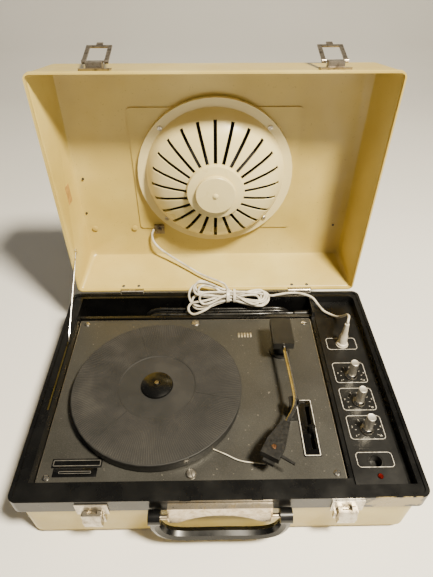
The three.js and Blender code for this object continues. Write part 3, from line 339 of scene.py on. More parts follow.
CREAM = cream_abs()
BLACK = black_abs()
FRAME_BLACK = black_abs("black ABS, moulded and rubbed", 0.22, worn=True)
GLOSS_BLACK = black_abs("black ABS, polished", 0.12)
SATIN = satin_black()
DECK = deck_paint()
RUBBER = ribbed_rubber()
RUBBED = ribbed_rubber("moulded rubber, rubbed", "232220", "302e2b", "3f3d38")
PANEL = black_abs("black ABS, dull panel", 0.32)
NICKEL = plated_steel()
TARNISHED = plated_steel("tarnished nickel plate", "a89e90", "5f564a", 0.3)
BRACKET = plated_steel("nickel-plated bracket", "dccfb8", "b09c7a", 0.24)
CHROME = bright_steel("chrome plate", "dcd8d0", 0.1)
STEEL = bright_steel()
ALUMINIUM = bright_steel("spun aluminium", "e6e2d8", 0.3)
SPUN = bright_steel("spun aluminium, matt", "f0ece2", 0.42)
BRASS = bright_steel("turned brass", "c79a55", 0.2)
COPPER = bright_steel("copper-plated screw", "c08a62", 0.22)
ENAMEL = grille_enamel()
WHITE_SHEATH = sheathing("white PVC sheath", "dcd6c6", "a79f8b", 0.34)
BLACK_SHEATH = sheathing("black PVC sheath", "171614", "0a0a09", 0.22)
WHITE_PLUG = plain_moulding("white PVC moulding", "dad4c4", "b4ac98", 0.35)
BLACK_PLUG = plain_moulding("black PVC moulding", "191817", "0d0c0b", 0.3)
INK = printed_ink()
LENS = red_lens()
CONE = plain_moulding("pressed paper cone", "232120", "141312", 0.8, 4)
IRON = plain_moulding("varnished iron", "3a3836", "232221", 0.45, 6)
BOARD = plain_moulding("phenolic circuit board", "7d5c30", "5d421f", 0.5, 8)
TAPE = plain_moulding("old adhesive tape", "b9924c", "96733a", 0.5, 5)


# ------------------------------------------------------------------ mesh helpers
def new_object(name, mesh, *materials):
    thing = bpy.data.objects.new(name, mesh)
    bpy.context.scene.collection.objects.link(thing)
    for material in materials:
        mesh.materials.append(material)
    return thing


def mesh_from(name, vertices, faces, *materials, smooth=True):
    mesh = bpy.data.meshes.new(name)
    mesh.from_pydata([tuple(v) for v in vertices], [], faces)
    mesh.validate()
    for polygon in mesh.polygons:
        polygon.use_smooth = smooth
    return new_object(name, mesh, *materials)


def join_faces_outward(thing):
    """Merges doubles and turns every face outwards."""
    work = bmesh.new()
    work.from_mesh(thing.data)
    bmesh.ops.remove_doubles(work, verts=work.verts, dist=1e-6)
    bmesh.ops.recalc_face_normals(work, faces=work.faces)
    work.to_mesh(thing.data)
    work.free()
    return thing


def crease(thing, degrees=32):
    """Smooth faces with sharp edges past an angle."""
    for polygon in thing.data.polygons:
        polygon.use_smooth = True
    thing.data.set_sharp_from_angle(angle=math.radians(degrees))
    return thing


def smooth_route(points, step):
    """Points evenly spaced along a centripetal Catmull-Rom curve, in metres."""
    points = [Vector(p) for p in points]
    points = [2 * points[0] - points[1], *points, 2 * points[-1] - points[-2]]
    dense = []
    for a, b, c, d in zip(points, points[1:], points[2:], points[3:]):
        t1 = max((b - a).length, 1e-9) ** 0.5
        t2 = t1 + max((c - b).length, 1e-9) ** 0.5
        t3 = t2 + max((d - c).length, 1e-9) ** 0.5
        for i in range(12):
            t = t1 + (t2 - t1) * i / 12
            ab = a * ((t1 - t) / t1) + b * (t / t1)
            bc = b * ((t2 - t) / (t2 - t1)) + c * ((t - t1) / (t2 - t1))
            cd = c * ((t3 - t) / (t3 - t2)) + d * ((t - t2) / (t3 - t2))
            ac = ab * ((t2 - t) / t2) + bc * (t / t2)
            bd = bc * ((t3 - t) / (t3 - t1)) + cd * ((t - t1) / (t3 - t1))
            dense.append(ac * ((t2 - t) / (t2 - t1)) + bd * ((t - t1) / (t2 - t1)))
    dense.append(points[-2])
    total = sum((b - a).length for a, b in zip(dense, dense[1:]))
    count = max(2, round(total / step))
    even, walked, target = [dense[0]], 0.0, total / count
    for a, b in zip(dense, dense[1:]):
        length = (b - a).length
        while length > 0 and walked + length >= target - 1e-12 and len(even) < count:
            even.append(a.lerp(b, (target - walked) / length))
            target += total / count
        walked += length
    even.append(dense[-1])
    return even


def route_length(route):
    return sum((b - a).length for a, b in zip(route, route[1:]))


def sweep(name, route, radius, sides, *materials):
    """A closed round tube along a route, whose UV map runs round it and then along it in millimetres."""
    vertices, uvs = [], []
    along = (route[1] - route[0]).normalized()
    side = along.cross(Vector((0, 0, 1)))
    side = side.normalized() if side.length > 1e-3 else along.orthogonal().normalized()
    travelled = 0.0
    for i, point in enumerate(route):
        before, after = route[max(i - 1, 0)], route[min(i + 1, len(route) - 1)]
        tangent = (after - before).normalized()
        side = (side - tangent * side.dot(tangent)).normalized()
        rise = side.cross(tangent).normalized()
        travelled += (point - before).length
        for k in range(sides):
            angle = 2 * math.pi * k / sides
            vertices.append(point + side * radius * math.cos(angle) + rise * radius * math.sin(angle))
        uvs.append(travelled)
    faces = []
    for i in range(len(route) - 1):
        for k in range(sides):
            n = (k + 1) % sides
            faces.append((i * sides + k, i * sides + n, (i + 1) * sides + n, (i + 1) * sides + k))
    last = (len(route) - 1) * sides
    faces.append(tuple(reversed(range(sides))))
    faces.append(tuple(range(last, last + sides)))
    thing = mesh_from(name, vertices, faces, *materials)
    layer = thing.data.uv_layers.new(name="along")
    for polygon in thing.data.polygons:
        ring = [thing.data.loops[l].vertex_index % sides for l in polygon.loop_indices]
        wraps = max(ring) - min(ring) > 1 and len(ring) == 4
        for l, k in zip(polygon.loop_indices, ring):
            row = thing.data.loops[l].vertex_index // sides
            around = (k + sides if wraps and k == 0 else k) / sides
            layer.data[l].uv = (around, uvs[row] / MM)
    work = bmesh.new()
    work.from_mesh(thing.data)
    bmesh.ops.recalc_face_normals(work, faces=work.faces)
    work.to_mesh(thing.data)
    work.free()
    thing.data.polygons[-1].use_smooth = thing.data.polygons[-2].use_smooth = False
    return thing


def lathe(name, profile, centre, axis, segments, *materials):
    """A profile of (radius, height) in millimetres turned about an axis through a point."""
    axis = Vector(axis).normalized()
    across = axis.orthogonal().normalized()
    other = axis.cross(across)
    vertices, rings = [], []
    for radius, height in profile:
        if radius < 1e-6:
            rings.append([len(vertices)] * segments)
            vertices.append(centre + axis * height * MM)
            continue
        ring = []
        for k in range(segments):
            angle = 2 * math.pi * k / segments
            r = radius * MM
            ring.append(len(vertices))
            outward = across * r * math.cos(angle) + other * r * math.sin(angle)
            vertices.append(centre + outward + axis * height * MM)
        rings.append(ring)
    faces = []
    for low, high in zip(rings, rings[1:]):
        for k in range(segments):
            n = (k + 1) % segments
            face = [low[k], low[n], high[n], high[k]]
            face = [v for i, v in enumerate(face) if v != face[i - 1]]
            if len(set(face)) >= 3:
                faces.append(tuple(dict.fromkeys(face)))
    for ring, turn in ((rings[0], -1), (rings[-1], 1)):
        if len(set(ring)) > 1:
            faces.append(tuple(ring[::turn]))
    thing = mesh_from(name, vertices, faces, *materials)
    join_faces_outward(thing)
    return crease(thing, 34)


def block(name, corners, bevel, *materials):
    """A closed prism: corners is its bottom's points in order, and its top's."""
    bottom, top = corners
    count = len(bottom)
    faces = [tuple(reversed(range(count))), tuple(range(count, 2 * count))]
    faces += [(i, (i + 1) % count, count + (i + 1) % count, count + i) for i in range(count)]
    thing = mesh_from(name, [*bottom, *top], faces, *materials)
    join_faces_outward(thing)
    if bevel:
        work = bmesh.new()
        work.from_mesh(thing.data)
        edges = [*work.edges]
        bmesh.ops.bevel(
            work, geom=edges, offset=bevel * MM, segments=2, profile=0.5, affect="EDGES", clamp_overlap=True
        )
        work.to_mesh(thing.data)
        work.free()
    return crease(thing, 40)


def case_block(name, x0, x1, y0, y1, z0, z1, bevel, *materials):
    plan = [(x0, y0), (x1, y0), (x1, y1), (x0, y1)]
    bottom, top = ([case_point(x, y, z) for x, y in plan] for z in (z0, z1))
    return block(name, (bottom, top), bevel, *materials)


def merged(name, things):
    """Several objects as one mesh."""
    work = bmesh.new()
    materials = []
    for thing in things:
        start = len(work.faces)
        work.from_mesh(thing.data)
        work.faces.ensure_lookup_table()
        for face in work.faces[start:]:
            material = thing.data.materials[face.material_index] if thing.data.materials else None
            if material not in materials:
                materials.append(material)
            face.material_index = materials.index(material)
    mesh = bpy.data.meshes.new(name)
    work.to_mesh(mesh)
    work.free()
    for thing in things:
        bpy.data.objects.remove(thing)
    return new_object(name, mesh, *materials)


# ------------------------------------------------------------------ cords
SPEAKER_CORD = 3.2
MAINS_CORD = 5.0

# The hank's middle at stations along it: x, y, z and its tilt back in radians.
HANK_STATIONS = [
    (-40, 278.6, 9.6, 1.0),
    (-30, 279.2, 10, 1.0),
    (-18, 280, 10, 0.98),
    (-4, 282.5, 8.6, 0.85),
    (10, 285.6, 6.4, 0.66),
    (21, 287, 5.2, 0.56),
    (34, 285, 4.6, 0.5),
    (50, 283.2, 4, 0.42),
    (64, 283, 3.6, 0.38),
    (78, 286.4, 3.8, 0.35),
]


def hank_point(x, across, up):
    """A point in the hank: x along it, across its flat and up from its flat, in millimetres."""
    for low, high in zip(HANK_STATIONS, HANK_STATIONS[1:]):
        if x <= high[0]:
            break
    share = min(max((x - low[0]) / (high[0] - low[0]), 0), 1)
    y, z, tilt = (a + (b - a) * share for a, b in zip(low[1:], high[1:]))
    back = y + across * math.cos(tilt) - up * math.sin(tilt)
    return case_point(x, back, z + across * math.sin(tilt) + up * math.cos(tilt))


# Each turn of the hank: its slots in the tied waist going right and coming back, and for its right and its
# left lobe the reach from the waist, the offset and half width across, and the height in the bundle.
WAIST_X = 21
TURNS = [
    ((3.4, 3.4), (-3.4, 3.4), (51, 0.5, 8.4, 3.0), (52, 12.0, 9.0, 3.4)),
    ((6.6, 0.2), (-6.6, 0.2), (54, -1.0, 11.0, -0.4), (59, 3.0, 16.5, 0.2)),
    ((6.6, -3.2), (-6.6, -3.2), (47, -3.0, 8.0, -3.4), (55, -7.5, 10.5, -3.2)),
    ((3.3, 0.0), (-3.3, 0.0), (43, 2.0, 7.0, 0.4), (46, 8.0, 7.6, 0.6)),
    ((3.3, -3.3), (-3.3, -3.3), (52, 0.0, 8.8, -3.2), (50, 14.0, 8.0, -3.0)),
    ((0.0, 3.3), (0.0, -3.3), (48, 2.0, 8.6, 4.6), (60, -15.5, 8.4, 3.0)),
    ((0.0, 0.0), (0.0, 6.6), (40, -4.0, 7.2, 3.2), (44, -2.0, 8.0, 5.6)),
]


def hank_winding():
    """The speaker lead's turns from the top of the waist, out to the right and round, back to the waist."""
    points = []
    for number, (out_slot, back_slot, right, left) in enumerate(TURNS):
        next_slot = TURNS[number + 1][0] if number + 1 < len(TURNS) else (3.3, 6.4)
        for lobe, sign, first, second in ((right, 1, out_slot, back_slot), (left, -1, back_slot, next_slot)):
            reach, offset, half, level = lobe
            stops = [(0, 1, 0), (0.34, 1, 0), (0.7, 1, 0)]
            stops += [(1, math.sin(a), math.cos(a)) for a in (math.pi / 2 - math.pi * i / 6 for i in range(7))]
            stops += [(0.7, -1, 0), (0.34, -1, 0)]
            for along, turn, nose in stops:
                slot = first if turn > 0 else second
                share = along * along * (3 - 2 * along)
                across = (1 - share) * slot[0] + share * (offset + half * turn * sign)
                up = (1 - share) * slot[1] + share * level
                points.append(hank_point(WAIST_X + sign * ((reach - half) * along + half * nose), across, up))
    return points


LID_LEAD = [
    (-89.9, 368.2, 64.4),
    (-93.4, 366.8, 56),
    (-91.5, 364, 45),
    (-84, 360.5, 36),
    (-72, 355, 29),
    (-56, 345, 24),
    (-37, 332, 19.5),
    (-25, 323, 17.6),
    (-12, 314.5, 16.8),
    (2, 307, 16.2),
    (12, 300.5, 15.2),
]
BASE_LEAD = [
    (80, 287.2, 4),
    (88, 288.4, 4.6),
    (103, 292, 4.2),
    (117, 293.4, 3),
    (129, 290.5, 2),
    (138, 284, 1.4),
    (145.5, 276.5, -5),
    (153, 269.5, -10.4),
    (161, 261, -9.4),
    (167, 250, -3),
    (170, 237, 12),
    (169.6, 225, 25.5),
    (168, 215, 31.5),
    (165.6, 208.4, 31.8),
    (165, 207.2, 28.2),
]
lead_points = [case_point(*p) for p in LID_LEAD] + hank_winding()
for beyond, across, up in ((14, 5.0, 5.6), (32, 6.0, 4.4), (50, 2.5, 2.0)):
    lead_points.append(hank_point(WAIST_X + beyond, across, up))
lead_points += [case_point(*p) for p in BASE_LEAD]
lead_route = smooth_route(lead_points, 2.0 * MM)
speaker_lead = sweep("speaker_lead", lead_route, SPEAKER_CORD / 2 * MM, 12, WHITE_SHEATH)

MAINS_HANK = {"x0": -104, "x1": 112.4, "y": 275, "floor": -57.7, "height": 46}


def mains_winding():
    """Four turns and a last top run, standing on edge in the well, each layer a diameter from the next."""
    half = MAINS_HANK["height"] / 2 - MAINS_CORD / 2 - 0.2
    middle = MAINS_HANK["floor"] + MAINS_HANK["height"] / 2
    left = MAINS_HANK["x0"] + MAINS_CORD / 2 + half + 0.3
    right = MAINS_HANK["x1"] - MAINS_CORD / 2 - half - 0.3
    points = [(112.7, 275, -19.7), (104, 275.2, -19.6), (94, 274, -18.4)]
    # Each layer is its distance across the well and how far it lies inside the outermost one.
    layers = [(-5.6, 0), (-5.6, 5.3), (5.4, 5.3), (5.4, 0), (0, 0)]
    for turn, (offset, inset) in enumerate(layers):
        y, bend = MAINS_HANK["y"] + offset, half - inset
        shares = (0.15, 0.5, 0.85) if turn < len(layers) - 1 else (0.15, 0.5)
        for share in shares:
            sag = 0.6 * math.sin(share * math.pi)
            points.append((right + (left - right) * share, y, middle + bend - sag))
        if turn == len(layers) - 1:
            return points
        for i in range(7):
            angle = math.pi / 2 + math.pi * i / 6
            points.append((left + bend * math.cos(angle), y, middle + bend * math.sin(angle)))
        for share in (0.2, 0.5, 0.8):
            points.append((left + (right - left) * share, y, middle - bend))
        next_offset, next_inset = layers[turn + 1]
        for i in range(7):
            angle = -math.pi / 2 + math.pi * i / 6
            round_to = bend + (inset - next_inset) * i / 6
            across = y + (next_offset - offset) * i / 6
            x, z = right + round_to * math.cos(angle), middle + round_to * math.sin(angle)
            points.append((x, across, z))


mains_points = mains_winding()
# The last length crosses the hank on a long S, down to the plug lying at the floor.
mains_points += [
    (-52, 275.2, -20.6),
    (-62, 275, -23.4),
    (-72, 275, -28.6),
    (-82, 275, -35.2),
    (-92, 275, -41),
    (-99, 275, -43.9),
    (-104.3, 275, -44.7),
]
mains_route = smooth_route([case_point(*p) for p in mains_points], 3.0 * MM)
mains_lead = sweep("mains_lead", mains_route, MAINS_CORD / 2 * MM, 12, BLACK_SHEATH)
print("speaker lead", round(route_length(lead_route), 3), "mains lead", round(route_length(mains_route), 3))

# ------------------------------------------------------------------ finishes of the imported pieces
FINISHES = {
    CREAM: "base_shell lid_shell",
    FRAME_BLACK: "deck_frame",
    BLACK: "idler_wheel carrying_handle",
    PANEL: "control_panel",
    GLOSS_BLACK: "speed_plate speed_lever record_centre_adaptor",
    SATIN: "platter tonearm_post tonearm_housing headshell cartridge arm_rest auxiliary_socket",
    DECK: "deck_plate",
    RUBBER: "platter_mat foot_front_left foot_front_right foot_rear_left foot_rear_right",
    ALUMINIUM: "bass_knob treble_knob volume_knob",
    STEEL: "spindle_bearing idler_bracket motor",
    CHROME: "tonearm_tube tonearm_yoke lid_stay",
    BRASS: "motor_pulley",
    IRON: "mains_transformer speaker_magnet",
    BOARD: "amplifier_board",
    LENS: "pilot_lamp",
    BRACKET: "handle_bracket",
    NICKEL: "catch_plate_left catch_plate_right catch_lever_left catch_lever_right "
    "hinge_leaf_left hinge_leaf_right lid_hinge_leaf_left lid_hinge_leaf_right",
    TARNISHED: "hasp_plate_left hasp_plate_right hasp_left hasp_right speaker_terminal",
    ENAMEL: "speaker_grille",
    CONE: "speaker_driver",
    WHITE_PLUG: "speaker_socket speaker_plug speaker_lead_lid speaker_lead_hank speaker_lead_base",
    BLACK_PLUG: "mains_gland mains_plug mains_lead_hank",
}
for finish, names in FINISHES.items():
    for name in names.split():
        mesh = NODES[name].data
        mesh.materials.clear()
        mesh.materials.append(finish)


def smoothing_tree():
    """Geometry nodes that shade curved faces smoothly and keep edges past 35 degrees sharp."""
    tree = bpy.data.node_groups.new("smooth curved faces", "GeometryNodeTree")
    tree.interface.new_socket("Mesh", in_out="INPUT", socket_type="NodeSocketGeometry")
    tree.interface.new_socket("Mesh", in_out="OUTPUT", socket_type="NodeSocketGeometry")
    source = add(tree, "NodeGroupInput").outputs[0]
    bare = add(tree, "GeometryNodeRemoveAttribute", Geometry=source, Name="custom_normal").outputs[0]
    whole = add(tree, "GeometryNodeMergeByDistance", Geometry=bare, Distance=1e-6).outputs[0]
    smooth = add(
        tree, "GeometryNodeSetShadeSmooth", {"domain": "FACE"}, Geometry=whole, Shade_Smooth=True
    ).outputs[0]
    angle = add(tree, "GeometryNodeInputMeshEdgeAngle").outputs[0]
    sharp = add(
        tree, "FunctionNodeCompare", {"operation": "GREATER_THAN"}, A=angle, B=math.radians(35)
    ).outputs[0]
    edged = add(
        tree,
        "GeometryNodeSetShadeSmooth",
        {"domain": "EDGE"},
        Geometry=smooth,
        Selection=sharp,
        Shade_Smooth=False,
    ).outputs[0]
    add(tree, "NodeGroupOutput", _0=edged)
    return tree


SMOOTHING = smoothing_tree()
for node in NODES.values():
    node.modifiers.new("smooth curved faces", "NODES").node_group = SMOOTHING


# ------------------------------------------------------------------ screws and rivets
def screw_head(name, place, axis, radius, height, material, turn=0.4):
    """A domed head with a straight slot sunk into it, its underside just in the surface."""
    dome = [(radius, height * 0.35), (radius * 0.82, height * 0.8), (radius * 0.4, height), (0, height * 1.04)]
    head = lathe(name, [(0, -0.5), (radius, -0.5), *dome], place, axis, 28, material)
    axis = Vector(axis).normalized()
    across = Matrix.Rotation(turn, 3, axis) @ axis.orthogonal().normalized()
    other = axis.cross(across)
    long, wide = radius * 1.2 * MM, max(radius * 0.13, 0.35) * MM
    plan = [across * sx * long + other * sy * wide for sx, sy in ((-1, -1), (1, -1), (1, 1), (-1, 1))]
    low, high = axis * height * 0.45 * MM, axis * (height + 1) * MM
    cutter = block("slot_cutter", ([place + p + low for p in plan], [place + p + high for p in plan]), 0)
    cut = head.modifiers.new("slot", "BOOLEAN")
    cut.operation, cut.object, cut.solver = "DIFFERENCE", cutter, "EXACT"
    bpy.context.view_layer.update()
    made = bpy.data.meshes.new_from_object(head.evaluated_get(bpy.context.evaluated_depsgraph_get()))
    head.modifiers.clear()
    head.data = made
    bpy.data.objects.remove(cutter)
    return crease(head, 34)


UP, FRONT = (0, 0, 1), (0, -1, 0)
DECK_Z, PANEL_Z = -16.2, -10.0


def scatter_tree():
    """Geometry nodes that set a master object on each point, turned by the point's own angle about an axis."""
    tree = bpy.data.node_groups.new("set on points", "GeometryNodeTree")
    face = tree.interface
    face.new_socket("Points", in_out="INPUT", socket_type="NodeSocketGeometry")
    face.new_socket("Master", in_out="INPUT", socket_type="NodeSocketObject")
    face.new_socket("Axis", in_out="INPUT", socket_type="NodeSocketVector")
    face.new_socket("Finish", in_out="INPUT", socket_type="NodeSocketMaterial")
    face.new_socket("Result", in_out="OUTPUT", socket_type="NodeSocketGeometry")
    inputs = add(tree, "NodeGroupInput").outputs
    original = {"transform_space": "ORIGINAL"}
    master = add(tree, "GeometryNodeObjectInfo", original, Object=inputs["Master"], As_Instance=True)
    angle = add(tree, "GeometryNodeInputNamedAttribute", {"data_type": "FLOAT"}, Name="turn").outputs[0]
    turned = add(tree, "FunctionNodeAxisAngleToRotation", Axis=inputs["Axis"], Angle=angle).outputs[0]
    placed = add(
        tree,
        "GeometryNodeInstanceOnPoints",
        Points=inputs["Points"],
        Instance=master.outputs["Geometry"],
        Rotation=turned,
    )
    solid = add(tree, "GeometryNodeRealizeInstances", Geometry=placed.outputs[0]).outputs[0]
    painted = add(tree, "GeometryNodeSetMaterial", Geometry=solid, Material=inputs["Finish"]).outputs[0]
    add(tree, "NodeGroupOutput", Result=painted)
    return tree


SCATTER = scatter_tree()


def scattered(name, master, points, turns, finish, axis=UP):
    """A plain mesh of the master repeated at points in metres, each turned by its own angle in radians."""
    mesh = bpy.data.meshes.new(name)
    mesh.from_pydata([tuple(p) for p in points], [], [])
    mesh.attributes.new("turn", "FLOAT", "POINT").data.foreach_set("value", list(turns))
    thing = new_object(name, mesh)
    spread_out = thing.modifiers.new("set on points", "NODES")
    spread_out.node_group = SCATTER
    settings = {"Master": master, "Axis": tuple(axis), "Finish": finish}
    for item in SCATTER.interface.items_tree:
        if item.in_out == "INPUT" and item.name in settings:
            spread_out[item.identifier] = settings[item.name]
    bpy.context.view_layer.update()
    made = bpy.data.meshes.new_from_object(thing.evaluated_get(bpy.context.evaluated_depsgraph_get()))
    thing.modifiers.clear()
    thing.data = made
    bpy.data.objects.remove(master)
    return thing


CENTRE = Vector((0, 0, 0))
deck_screws = scattered(
    "deck_screws",
    screw_head("deck_screw", CENTRE, UP, 3.8, 1.5, STEEL),
    [case_point(x, y, DECK_Z) for x, y in ((-180, 32.5), (-179.7, 253), (122, 251.8), (123, 33.2))],
    (0.4, 1.1, 2.0, 0.1),
    STEEL,
)
transit_screws = scattered(
    "transit_screws",
    screw_head("transit_screw", CENTRE, UP, 5.6, 2.4, NICKEL),
    [case_point(-29.6, 34.7, DECK_Z), case_point(-28.9, 253.5, DECK_Z)],
    (0.8, 0.3),
    NICKEL,
)
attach(deck_screws, "base")
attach(transit_screws, "base")
grille_screws = scattered(
    "grille_screws",
    screw_head("grille_screw", CENTRE, FRONT, 3.4, 1.6, NICKEL),
    [lid_point(x, 148 + s, 64) for x in (-69, 69) for s in (-66, 66)],
    (0.2, 1.0, 1.7, 2.5),
    NICKEL,
    FRONT,
)
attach(grille_screws, "lid")
LID_FLOOR = Vector(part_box("lid_shell")[0]).z / MM - CASE_ORIGIN.z / MM
# Dark domes at the hinge's rivet holes: painted shade standing in for the holes' dark insides.
hinge_rivets = scattered(
    "hinge_rivets",
    lathe("hinge_rivet", [(0, -0.5), (2.4, -0.5), (2.4, 0.2), (1.6, 0.9), (0, 1.1)], CENTRE, UP, 20, IRON),
    [case_point(x, 309, LID_FLOOR + 2.6) for x in (-134, -112, 110.7, 132.6)],
    (0, 0, 0, 0),
    IRON,
)
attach(hinge_rivets, "lid")

# ------------------------------------------------------------------ knob tops and skirts
KNOBS = {"bass_knob": 155, "treble_knob": 116.5, "volume_knob": 80}
KNOB_X = 165
for body, knob_y in KNOBS.items():
    top = lathe(
        "knob_top",
        [(0, -0.3), (4.7, -0.3), (4.7, 0.2), (4.3, 0.5), (3.7, 0.3), (0, 0.4)],
        case_point(KNOB_X, knob_y, 14),
        UP,
        36,
        SPUN,
    )
    skirt = lathe(
        "knob_skirt",
        [(4.0, -9.1), (7.9, -9.1), (7.8, -8.2), (6.6, -6.6), (5.7, -5.0), (4.0, -5.0)],
        case_point(KNOB_X, knob_y, 0),
        UP,
        40,
        CHROME,
    )
    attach(merged(f"{body}_trim", [top, skirt]), body)

# ------------------------------------------------------------------ grille centre
HUB = lid_point(0, 148, 12)
grille_cap = lathe(
    "grille_cap", [(0, -0.4), (24.6, -0.4), (25.0, 0.1), (24.4, 0.8), (0, 1.0)], HUB, FRONT, 64, ENAMEL
)
grille_rivet = lathe(
    "grille_rivet", [(0, 0.6), (3.6, 0.6), (3.4, 1.8), (2.2, 2.6), (0, 2.9)], HUB, FRONT, 28, ENAMEL
)
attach(merged("grille_centre", [grille_cap, grille_rivet]), "lid")
ejector_marks = scattered(
    "ejector_marks",
    lathe(
        "ejector_mark", [(0, -0.6), (4.2, -0.6), (4.2, 0.15), (3.9, 0.3), (0, 0.3)], CENTRE, FRONT, 28, CREAM
    ),
    [lid_point(-176, 62, 70.1), lid_point(-118, 62, 70.1)],
    (0, 0),
    CREAM,
    FRONT,
)
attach(ejector_marks, "lid")

# ------------------------------------------------------------------ mat ribs
PLATTER = case_point(-71.5, 134.5, 1.7)
MAT_RIBS = 232
LABEL_EDGE, MAT_EDGE, RIB_TAPER = 46.4, 98.2, 52


def rib_master(width, height, curve):
    """A radial rib from the label's edge to the rim, leaning a little as it goes out."""
    vertices, faces = [], []
    for i in range(9):
        radius = LABEL_EDGE + (MAT_EDGE - LABEL_EDGE) * i / 8
        out = (radius - LABEL_EDGE) / RIB_TAPER
        lean = curve * out**1.6
        half = width * (0.55 + 0.45 * out) / 2
        for offset, level in ((-half, -0.4), (-half * 0.6, height), (half * 0.6, height), (half, -0.4)):
            y = radius * math.sin(lean) + offset
            vertices.append(Vector((radius * math.cos(lean), y, level)) * MM)
    for i in range(8):
        a, b = 4 * i, 4 * i + 4
        faces += [(a + k, b + k, b + (k + 1) % 4, a + (k + 1) % 4) for k in range(4)]
    faces += [(3, 2, 1, 0), (32, 33, 34, 35)]
    return join_faces_outward(mesh_from("mat_rib", vertices, faces, RUBBED, smooth=False))


ribs = scattered(
    "mat_ribs",
    rib_master(1.05, 0.5, 0.05),
    [PLATTER] * MAT_RIBS,
    [2 * math.pi * i / MAT_RIBS for i in range(MAT_RIBS)],
    RUBBED,
)
bar_turns = [math.radians(108 + 120 * i) for i in range(3)]
bars = scattered("mat_bars", rib_master(3.2, 0.6, 0.0), [PLATTER] * 3, bar_turns, RUBBER)
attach(merged("mat_ribbing", [ribs, bars]), "platter")


# ------------------------------------------------------------------ printing, badges, trim and a painted edge highlight
def ring_plate(name, outer, inner, low, high, material):
    """A closed flat ring between two loops of plan points with the same count."""
    count = len(outer)
    vertices = [case_point(x, y, z) for z in (low, high) for loop in (outer, inner) for x, y in loop]
    faces = []
    for i in range(count):
        n = (i + 1) % count
        faces += [
            (i, count + i, count + n, n),
            (2 * count + i, 2 * count + n, 3 * count + n, 3 * count + i),
            (i, n, 2 * count + n, 2 * count + i),
            (count + i, 3 * count + i, 3 * count + n, count + n),
        ]
    return join_faces_outward(mesh_from(name, vertices, faces, material, smooth=False))


def rounded(x0, x1, y0, y1, radius, steps=6):
    """A rounded rectangle's plan points."""
    points = []
    for cx, cy, start in ((x1, y1, 0), (x0, y1, 90), (x0, y0, 180), (x1, y0, 270)):
        cx += -radius if cx == x1 else radius
        cy += -radius if cy == y1 else radius
        for i in range(steps + 1):
            angle = math.radians(start + 90 * i / steps)
            points.append((cx + radius * math.cos(angle), cy + radius * math.sin(angle)))
    return points


def outline(name, x0, x1, y0, y1, radius, width, z, material):
    return ring_plate(
        name,
        rounded(x0, x1, y0, y1, radius),
        rounded(x0 + width, x1 - width, y0 + width, y1 - width, max(radius - width, 0.1)),
        z - 0.1,
        z + 0.08,
        material,
    )


def figure(text, x, y, z, size):
    """A numeral on a dial, as a closed mesh."""
    curve = bpy.data.curves.new("figure", "FONT")
    curve.body, curve.size, curve.extrude = text, size * MM, 0.09 * MM
    curve.align_x, curve.align_y, curve.resolution_u = "CENTER", "CENTER", 3
    holder = bpy.data.objects.new("figure", curve)
    bpy.context.scene.collection.objects.link(holder)
    bpy.context.view_layer.update()
    mesh = bpy.data.meshes.new_from_object(holder.evaluated_get(bpy.context.evaluated_depsgraph_get()))
    bpy.data.objects.remove(holder)
    mesh.transform(Matrix.Translation(case_point(x, y, z)))
    mesh.materials.clear()
    return join_faces_outward(new_object("figure", mesh, INK))


KNOB_FRAMES = {155: (144, 175), 116.5: (105, 136), 80: (68, 98)}
prints = [outline("socket_frame", 144.7, 183.5, 197, 217, 4, 0.5, PANEL_Z, INK)]
prints.append(outline("socket_frame", 144.7, 183.5, 36, 53, 4, 0.5, PANEL_Z, INK))
ticks, tick_turns = [], []
for knob_y, (low, high) in KNOB_FRAMES.items():
    prints.append(outline("knob_frame", 144.7, 183.5, low, high, 4, 0.5, PANEL_Z, INK))
    for step in range(11):
        angle = math.radians(240 - 30 * step)
        x, y = KNOB_X + 12.6 * math.cos(angle), knob_y + 12.6 * math.sin(angle)
        ticks.append(case_point(x, y, PANEL_Z))
        tick_turns.append(angle)
    for label, degrees in (("1", 215), ("3", 165), ("5", 115), ("7", 65), ("9", 15), ("10", -35)):
        angle = math.radians(degrees)
        x, y = KNOB_X + 16.4 * math.cos(angle), knob_y + 13.4 * math.sin(angle)
        prints.append(figure(label, x, y, PANEL_Z, 3.0))
tick_plan = ((-0.9, -0.16), (0.9, -0.16), (0.9, 0.16), (-0.9, 0.16))
tick_faces = tuple([Vector((x, y, z)) * MM for x, y in tick_plan] for z in (-0.1, 0.08))
tick = block("tick", tick_faces, 0, INK)
prints.append(scattered("dial_ticks", tick, ticks, tick_turns, INK))
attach(merged("panel_printing", prints), "base")
speed_trim = outline("speed_plate_trim", 92.3, 109.8, 52.5, 123.5, 1.5, 0.9, DECK_Z + 1.1, INK)
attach(speed_trim, "base")
badge = case_block("badge_plate", -177, -124, 43, 53, DECK_Z - 0.1, DECK_Z + 0.9, 0.25, GLOSS_BLACK)
lower_badge = case_block("badge_plate", -174, -128, 33, 42.6, DECK_Z - 0.1, DECK_Z + 0.7, 0.2, GLOSS_BLACK)
badge_lines = [
    outline("badge_line", -175.6, -125.4, 44.6, 51.4, 1.2, 0.8, DECK_Z + 0.95, ALUMINIUM),
    outline("badge_line", -168, -134, 36.4, 39.2, 1.2, 0.6, DECK_Z + 0.75, ALUMINIUM),
]
stripes = [
    case_block("stripe", x, x + 2.4, 226, 234, DECK_Z - 0.1, DECK_Z + 0.5, 0.1, ALUMINIUM)
    for x in range(29, 49, 4)
]
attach(merged("badges", [badge, lower_badge, *badge_lines, *stripes]), "base")

plate_low, plate_high = ((Vector(corner) - CASE_ORIGIN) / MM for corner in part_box("deck_plate"))
# A thin bright nickel strip round the deck plate's edge: painted highlight standing in for the light caught
# along the plate's bevelled edge.
deck_edge = outline("deck_edge", plate_low.x, plate_high.x, plate_low.y, plate_high.y, 3, 0.7, DECK_Z, NICKEL)
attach(deck_edge, "base")


